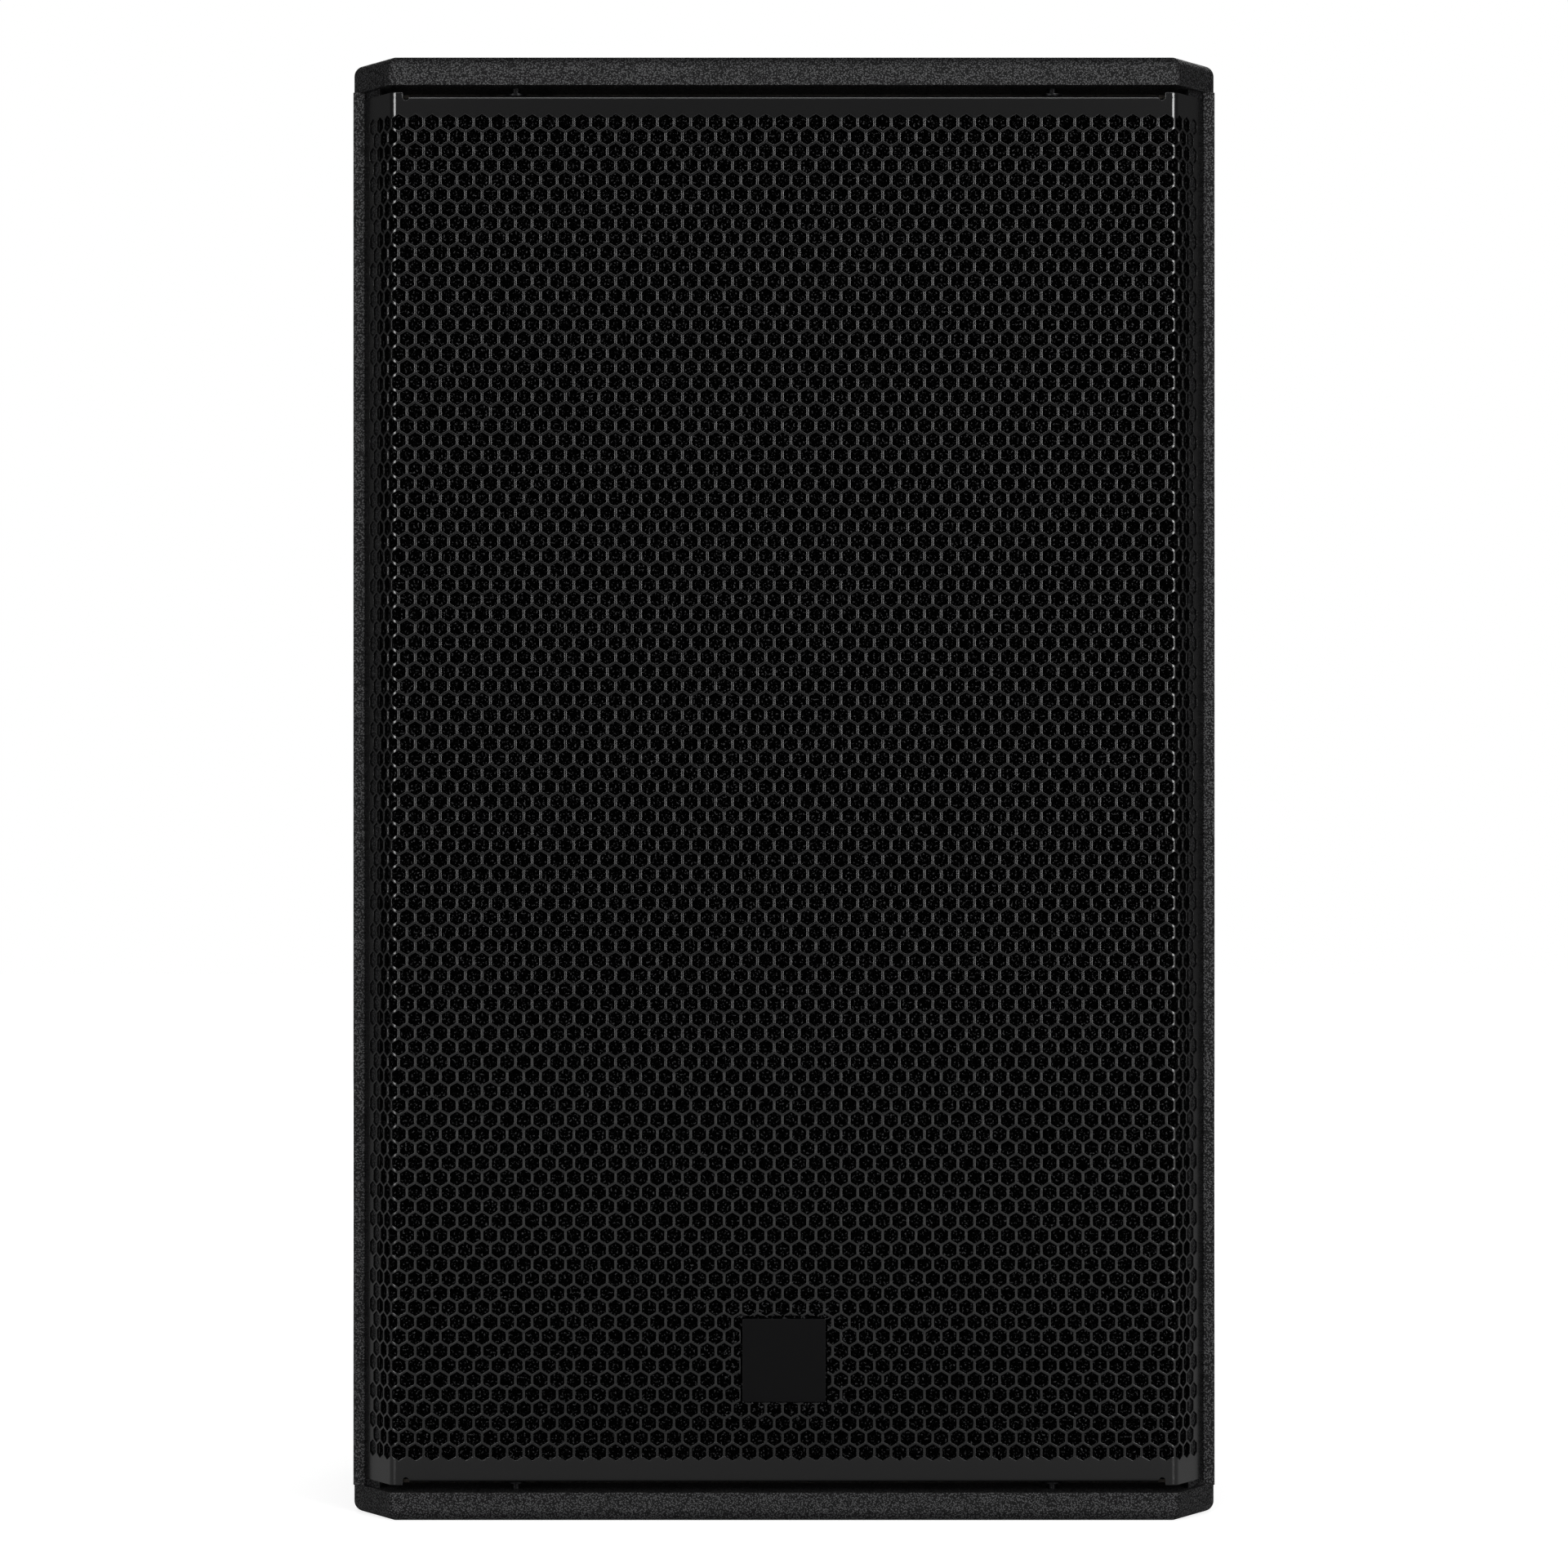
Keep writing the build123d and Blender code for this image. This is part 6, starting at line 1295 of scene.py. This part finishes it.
@dataclass
class ScrewSet:
    """Alike screws with cross recesses, set at the places of one CAD node.

    A height of 0 makes the head countersunk. The arm, crown, face and bed are shares of the head's
    radius, the shoulder is a share of its height, and the taper a share of the cross.
    """

    name: str
    node: str
    seats: list[Seat]
    head: float
    height: float
    shank: float
    length: float
    steps: int = 24
    arm: Pair = (0.6, 0.13)
    crown: float = 0.72
    shoulder: float = 0.4
    face: Pair = (0.97, 0.985)
    sunk: Pair = (-0.02, -0.12)
    point: float = 0.6
    bed: float = 0.55
    taper: float = 0.7

    def recess(self) -> list[Pair]:
        """Outline of the cross in the head."""
        arm, half = (self.head * share for share in self.arm)
        corner = [(arm, -half), (arm, half), (half, half)]
        turns = [(1, 0, 0, 1), (0, -1, 1, 0), (-1, 0, 0, -1), (0, 1, -1, 0)]
        return [(a * x + b * y, c * x + d * y) for a, b, c, d in turns for x, y in corner]

    def profile(self) -> list[Pair]:
        """Outline of the screw from the rim of its face to its point, as (radius, height)."""
        head, shank, tall, end = self.head, self.shank, self.height, -self.length
        crown, shoulder = self.crown, self.shoulder
        if tall:
            turns = [(sin(t), cos(t)) for t in (0.5, 1.0, pi / 2)]
            outs = [head * (crown + (1 - crown) * out) for out, _ in turns]
            ups = [tall * (shoulder + (1 - shoulder) * up) for _, up in turns]
            upper = [(head * crown, tall), *zip(outs, ups), (head, 0.0), (shank, 0.0)]
        else:
            rims = [(head * share, sunk) for share, sunk in zip(self.face, self.sunk)]
            upper = [*rims, (shank, shank - head)]
        return [*upper, (shank, self.point + end), (shank * 0.5, end), (0.0, end)]

    def template(self) -> Mesh:
        """One screw that points down from its seat at the origin."""
        profile = self.profile()
        build = turned(profile, self.steps, closed=False)
        rim = [e for e in build.edges if e.is_boundary]
        cross = [build.verts.new((x * MM, y * MM, profile[0][1] * MM)) for x, y in self.recess()]
        edges = [build.edges.new((cross[n - 1], corner)) for n, corner in enumerate(cross)]
        bmesh.ops.triangle_fill(build, edges=rim + edges, use_dissolve=False)
        deep = min(self.head * self.bed, self.length * 0.5) * MM
        taper = self.taper
        bed = [build.verts.new((v.co.x * taper, v.co.y * taper, v.co.z - deep)) for v in cross]
        for n in range(len(cross)):
            build.faces.new([cross[n - 1], cross[n], bed[n], bed[n - 1]])
        build.faces.new(bed)
        return mesh_of(build, f"{self.name}_template")

    @staticmethod
    @cache
    def tree() -> Tree:
        """A tree that stands a copy of one screw on each seat, facing out and turned at random."""
        takes = {"Seats": GEOMETRY, "Fastener": OBJECT, "Seed": SEED, "Material": MATERIAL}
        group = Group("seated_fasteners", "GeometryNodeTree", takes, {"Copies": GEOMETRY})
        keys = {2: 0.0, 3: 2 * pi, "Seed": group.take["Seed"]}
        chance = group.node("FunctionNodeRandomValue", keys, data_type="FLOAT").outputs[1]
        spin = group.first("FunctionNodeAxisAngleToRotation", {"Axis": UP, "Angle": chance})
        copy = group.node("GeometryNodeObjectInfo", {"Object": group.take["Fastener"]})
        return stood(group, copy.outputs["Geometry"], spin)

    def make(self) -> None:
        """Stands the screws on their seats."""
        template = placed("fastener", self.template())
        material = FINISHES["black_screws"].material()
        values = {"Fastener": template, "Seed": SEED, "Material": material}
        mesh = run_on_seats(self.tree(), self.seats, values)
        bpy.data.objects.remove(template)
        settle(self.name, mesh, "black_screws", self.node)


def screw_sets() -> list[ScrewSet]:
    """The sets of screws, at the sizes and places of the CAD ones."""
    amp_z = (143.0, 247.67, 352.33, 457.0)
    amp = [((x, 185.0, z), REARWARD) for x in (-94.5, 94.5) for z in amp_z]
    handle = [
        ((side * 182.32, -62.15 + y, 438.87 + z), (float(side), 0.0, 0.0))
        for side in (-1, 1) for y in (-70.0, 70.0) for z in (-40.0, 40.0)
    ]
    ends = ((614.0, UP), (0.0, DOWN))
    grille = [((x, -171.5, z), way) for x in (-113.0, 113.0) for z, way in ends]
    woofer = [((x, -163.4, z), FORWARD) for x, z in circle((0.0, 175.0), 147.5, 8, 22.5)]
    horn = [((x, -158.2, 517.0 + z), FORWARD) for x in (-110.0, 0.0, 110.0) for z in (-67.0, 67.0)]
    pole = [((x, y, 0.5), DOWN) for x, y in circle((0.0, 0.0), 42.0, 4, 45.0)]
    return [
        ScrewSet("amplifier_screws", "amp_screws", amp, 3.8, 0.0, 2.0, 12.0),
        ScrewSet("handle_cup_screws", "handle_screws", handle, 4.0, 0.0, 2.0, 11.0),
        ScrewSet("grille_fixing_screws", "grille_screws", grille, 4.0, 0.0, 2.0, 23.9),
        ScrewSet("woofer_fixing_screws", "woofer_screws", woofer, 4.5, 3.5, 2.5, 24.0),
        ScrewSet("horn_fixing_screws", "horn_screws", horn, 3.6, 2.4, 2.0, 16.0),
        ScrewSet("socket_flange_screws", "pole_socket_screws", pole, 4.8, 0.0, 2.5, 14.0),
    ]


@dataclass
class InsertThreads:
    """The threads that show in the bores of the rigging inserts."""

    bore: float = 5.0
    depth: float = 0.45
    pitch: float = 1.5
    length: float = 21.0
    steps: int = 24
    seats: tuple[Seat, ...] = (
        ((-100.0, -35.0, 614.0), DOWN), ((100.0, -35.0, 614.0), DOWN),
        ((-100.0, 85.0, 0.0), UP), ((100.0, 85.0, 0.0), UP), ((0.0, 185.0, 550.0), FORWARD),
    )

    def inputs(self) -> dict[str, float]:
        """The sizes that the tree is run with."""
        sizes = {"Bore": self.bore, "Depth": self.depth, "Pitch": self.pitch, "Length": self.length}
        return {name: size * MM for name, size in sizes.items()}

    def tree(self) -> Tree:
        """A tree that winds one thread and sets it in each bore."""
        takes = {"Seats": GEOMETRY, **self.inputs(), "Material": MATERIAL}
        group = Group("bore_threads", "GeometryNodeTree", takes, {"Copies": GEOMETRY})
        take, math, first = group.take, group.math, group.first
        radius = math("SUBTRACT", take["Bore"], math("MULTIPLY", take["Depth"], 0.5))
        keys = {
            "Resolution": self.steps, "Rotations": math("DIVIDE", take["Length"], take["Pitch"]),
            "Start Radius": radius, "End Radius": radius, "Height": take["Length"],
        }
        winding = first("GeometryNodeCurveSpiral", keys)
        keys = {"Resolution": 4, "Radius": take["Depth"]}
        ridge = first("GeometryNodeCurvePrimitiveCircle", keys)
        keys = {"Curve": winding, "Profile Curve": ridge, "Fill Caps": True}
        wound = first("GeometryNodeCurveToMesh", keys)
        lead = first("ShaderNodeCombineXYZ", {"Z": take["Pitch"]})
        keys = {"Geometry": wound, "Translation": lead}
        return stood(group, first("GeometryNodeTransform", keys))

    def make(self) -> None:
        """Winds the threads."""
        values = {**self.inputs(), "Material": FINISHES["zinc_steel"].material()}
        settle("insert_threads", run_on_seats(self.tree(), self.seats, values), "zinc_steel")


# ---------------------------------------------------------------- printed marks


def aimed(turn: float) -> Pair:
    """The direction at a clockwise turn from straight up, in degrees."""
    return sin(radians(turn)), cos(radians(turn))


@dataclass
class Prints:
    """White marks that lie on the rear pieces: the dial, the pointer and the rocker's two signs.

    They are drawn as they are read from behind: u to the reader's right and v up.
    """

    knob: Pair = (-50.0, 288.0)
    dial: Pair = (14.6, 17.2)
    sweep: float = 300.0
    ticks: int = 11
    tick_width: float = 0.55
    number_radius: float = 20.4
    number_size: float = 3.0
    pointer: Point = (4.3, 10.6, 1.1)
    rocker: Pair = (46.0, 184.0)
    sign_rise: float = 5.2
    sign_ring: Pair = (1.9, 1.35)
    sign_bar: Point = (-1.9, 1.9, 0.55)
    sign_steps: int = 20
    ink: float = 0.06
    gap: float = 0.005
    behind: float = 300.0

    @staticmethod
    def flat(outlines: Iterable[Sequence[Pair]]) -> Build:
        """Makes flat faces from outlines."""
        build = bmesh.new()
        for outline in outlines:
            build.faces.new([build.verts.new((-u * MM, 0.0, v * MM)) for u, v in outline])
        return build

    def lay(self, name: str, build: Build, node: str, body: Body, slot: str) -> None:
        """Drops flat faces forward onto a CAD piece and gives them the thickness of ink.

        Args:
            name: the printed piece's name.
            build: the faces, drawn on the plane y = 0.
            node: the CAD node that they lie on.
            body: the body they ride on.
            slot: their material slot.

        Raises:
            ValueError: a corner has no part of the CAD piece in front of it.
        """
        bmesh.ops.triangulate(build, faces=build.faces)
        target = frame["nodes"][node]
        for vertex in build.verts:
            start = Vector((vertex.co.x, self.behind * MM, vertex.co.z))
            hit, place, _, _ = target.ray_cast(start, Vector(FORWARD))
            if not hit:
                raise ValueError(f"{name} misses {node} at {start}")
            vertex.co = place + Vector(REARWARD) * self.gap * MM
        made = bmesh.ops.extrude_face_region(build, geom=build.faces[:])
        tops = [part for part in made["geom"] if isinstance(part, bmesh.types.BMVert)]
        bmesh.ops.translate(build, verts=tops, vec=Vector(REARWARD) * self.ink * MM)
        settle(name, mesh_of(build, name), slot, body=body, finish=WHITE_PRINT)

    @staticmethod
    def bar(center: Pair, turn: float, start: float, end: float, width: float) -> list[Pair]:
        """Outline of a bar that points away from a centre.

        Args:
            center: the centre.
            turn: the bar's direction, clockwise from straight up, in degrees.
            start: how far from the centre it starts.
            end: how far from the centre it ends.
            width: its width.

        Returns:
            Its four corners.
        """
        u, v = aimed(turn)
        half = width / 2
        ends = [(start, -half), (start, half), (end, half), (end, -half)]
        return [(center[0] + u * r + v * s, center[1] + v * r - u * s) for r, s in ends]

    def number(self, build: Build, text: str, center: Pair) -> None:
        """Adds a numeral, centred on a place, to flat faces."""
        curve = bpy.data.curves.new("numeral", "FONT")
        curve.body, curve.size, curve.resolution_u = text, self.number_size, 3
        curve.align_x = curve.align_y = "CENTER"
        mesh = harvested(placed("numeral", curve))
        across, up = (-MM, 0, 0, -center[0] * MM), (0, MM, 0, center[1] * MM)
        mesh.transform(Matrix((across, (0, 0, 0, 0), up, (0, 0, 0, 1))))
        build.from_mesh(mesh)
        bpy.data.meshes.remove(mesh)

    def make(self) -> None:
        """Prints every mark."""
        turns = [self.sweep * (n / (self.ticks - 1) - 0.5) for n in range(self.ticks)]
        dial = self.flat(self.bar(self.knob, turn, *self.dial, self.tick_width) for turn in turns)
        for n, turn in enumerate(turns):
            u, v = aimed(turn)
            reach = self.number_radius
            self.number(dial, str(n), (self.knob[0] + u * reach, self.knob[1] + v * reach))
        pointer = self.flat([self.bar(self.knob, 0.0, *self.pointer)])
        across, middle = self.rocker
        low, high = (across, middle - self.sign_rise), (across, middle + self.sign_rise)
        outer, inner = (circle(low, radius, self.sign_steps) for radius in self.sign_ring)
        quads = [[outer[n - 1], outer[n], inner[n], inner[n - 1]] for n in range(self.sign_steps)]
        signs = self.flat([*quads, self.bar(high, 0.0, *self.sign_bar)])
        bmesh.ops.remove_doubles(signs, verts=signs.verts, dist=1e-6)
        self.lay("dial_marks", dial, "amp_panel", Body.CABINET, "black_steel")
        self.lay("volume_pointer", pointer, "volume_knob", Body.VOLUME, "moulded_plastic")
        self.lay("rocker_signs", signs, "power_rocker", Body.ROCKER, "moulded_plastic")


# ---------------------------------------------------------------- scene, light and camera


@dataclass(frozen=True)
class Softbox:
    """One soft lamp, in metres and watts."""

    name: str
    place: Point
    size: Pair
    power: float


@dataclass
class Studio:
    """A plain pale floor, soft lamps and the camera that faces the grille."""

    lens: float = 118.35
    film: float = 36.0
    far: float = 100.0
    distance: float = 2160.0
    eye_height: float = 309.0
    floor_size: float = 12000.0
    floor_shade: float = 0.6
    glow: Pair = (0.78, 1.0)
    glow_reach: Pair = (0.3, 1.0)
    surround: float = 0.1
    mirrored: float = 0.04
    aim: Point = (0.0, 0.0, 0.31)
    softboxes: tuple[Softbox, ...] = (
        Softbox("left_softbox", (-1.5, -2.6, 0.68), (0.75, 1.3), 34.0),
        Softbox("right_softbox", (1.5, -2.6, 0.68), (0.75, 1.3), 44.0),
        Softbox("overhead_softbox", (0.0, -2.0, 2.0), (2.6, 0.4), 16.0),
        Softbox("rear_softbox", (0.3, 2.6, 1.3), (2.2, 1.4), 38.0),
    )

    def camera(self) -> None:
        """Sets the camera square to the front, at the cabinet's middle height."""
        data = bpy.data.cameras.new("front_camera")
        data.lens, data.sensor_width, data.clip_end = self.lens, self.film, self.far
        camera = placed("front_camera", data)
        camera.location = (0.0, CAD_BOX[0].y - self.distance * MM, self.eye_height * MM)
        camera.rotation_euler = (pi / 2, 0.0, 0.0)
        bpy.context.scene.camera = camera

    @staticmethod
    def straight(graph: Graph) -> tuple[Socket, Socket]:
        """Returns a mask of what is looked at straight or through glass, and one of reflections."""
        seen = graph.node("ShaderNodeLightPath").outputs
        mask = graph.math("MAXIMUM", seen["Is Camera Ray"], seen["Is Transmission Ray"])
        return mask, seen["Is Glossy Ray"]

    def floor(self) -> None:
        """Lays the floor, which the camera sees as white and which keeps the shadow."""
        half = self.floor_size * MM / 2
        corners = [(-half, -half, 0), (half, -half, 0), (half, half, 0), (-half, half, 0)]
        mesh = bpy.data.meshes.new("floor")
        mesh.from_pydata(corners, [], [(0, 1, 2, 3)])
        made = bpy.data.materials.new("pale_floor")
        graph = emptied(made)
        away = graph.vector("LENGTH", graph.node("ShaderNodeTexCoord").outputs["Object"])
        level = graph.spread(away, *self.glow, *self.glow_reach)
        strength = graph.math("MULTIPLY", self.straight(graph)[0], level)
        shade = (self.floor_shade, self.floor_shade, self.floor_shade, 1.0)
        paint = graph.first("ShaderNodeBsdfDiffuse", {"Color": shade})
        glow = graph.first("ShaderNodeEmission", {"Color": WHITE, "Strength": strength})
        both = graph.first("ShaderNodeAddShader", {0: paint, 1: glow})
        graph.node("ShaderNodeOutputMaterial", {"Surface": both})
        mesh.materials.append(made)
        placed("floor", mesh)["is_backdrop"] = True

    def world(self) -> None:
        """A dim soft surround that is white to the camera."""
        world = bpy.data.worlds.new("studio")
        bpy.context.scene.world = world
        graph = emptied(world)
        straight, glossy = self.straight(graph)
        level = graph.math("MAXIMUM", straight, graph.math("MULTIPLY", glossy, self.mirrored))
        strength = graph.math("MAXIMUM", level, self.surround)
        back = graph.first("ShaderNodeBackground", {"Color": WHITE, "Strength": strength})
        graph.node("ShaderNodeOutputWorld", {"Surface": back})

    def light(self) -> None:
        """Hangs the softboxes and aims them at the cabinet's middle."""
        for box in self.softboxes:
            data = bpy.data.lights.new(box.name, "AREA")
            data.shape, data.energy = "RECTANGLE", box.power
            data.size, data.size_y = box.size
            lamp = placed(box.name, data)
            lamp.location = box.place
            way = Vector(self.aim) - Vector(box.place)
            lamp.rotation_euler = way.to_track_quat("-Z", "Y").to_euler()

    def make(self) -> None:
        """Builds the studio."""
        self.camera()
        self.floor()
        self.world()
        self.light()
        bpy.context.scene.view_settings.view_transform = "Standard"


def dress_nodes() -> None:
    """Gives every CAD node the finish of its slot, or the near-black finish listed for it that paints shade
    on it.
    """
    slots = {row["node"]: row["material_slot"] for row in frame["record"]["subparts"]}
    for name, node in frame["nodes"].items():
        node.data.materials.clear()
        node.data.materials.append(SHADE_PAINTED_FINISHES.get(name, FINISHES[slots[name]]).material())
    log.info("dressed %d nodes", len(frame["nodes"]))


def write_size() -> None:
    """Works out the CAD box and the visual model's box, and keeps neither."""
    boxes = {"cad": CAD_BOX, "visual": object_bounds()}
    {name: [list(corner) for corner in box] for name, box in boxes.items()}


def main() -> None:
    """Builds the studio and the loudspeaker in order."""
    Studio().make()
    dress_nodes()
    pieces = (Grille(), FoamLining(), Wadding(), WooferCloth(), HandleGrips())
    for assembly in (*pieces, *screw_sets(), InsertThreads(), Prints()):
        assembly.make()
    write_size()


if __name__ == "__main__":
    main()
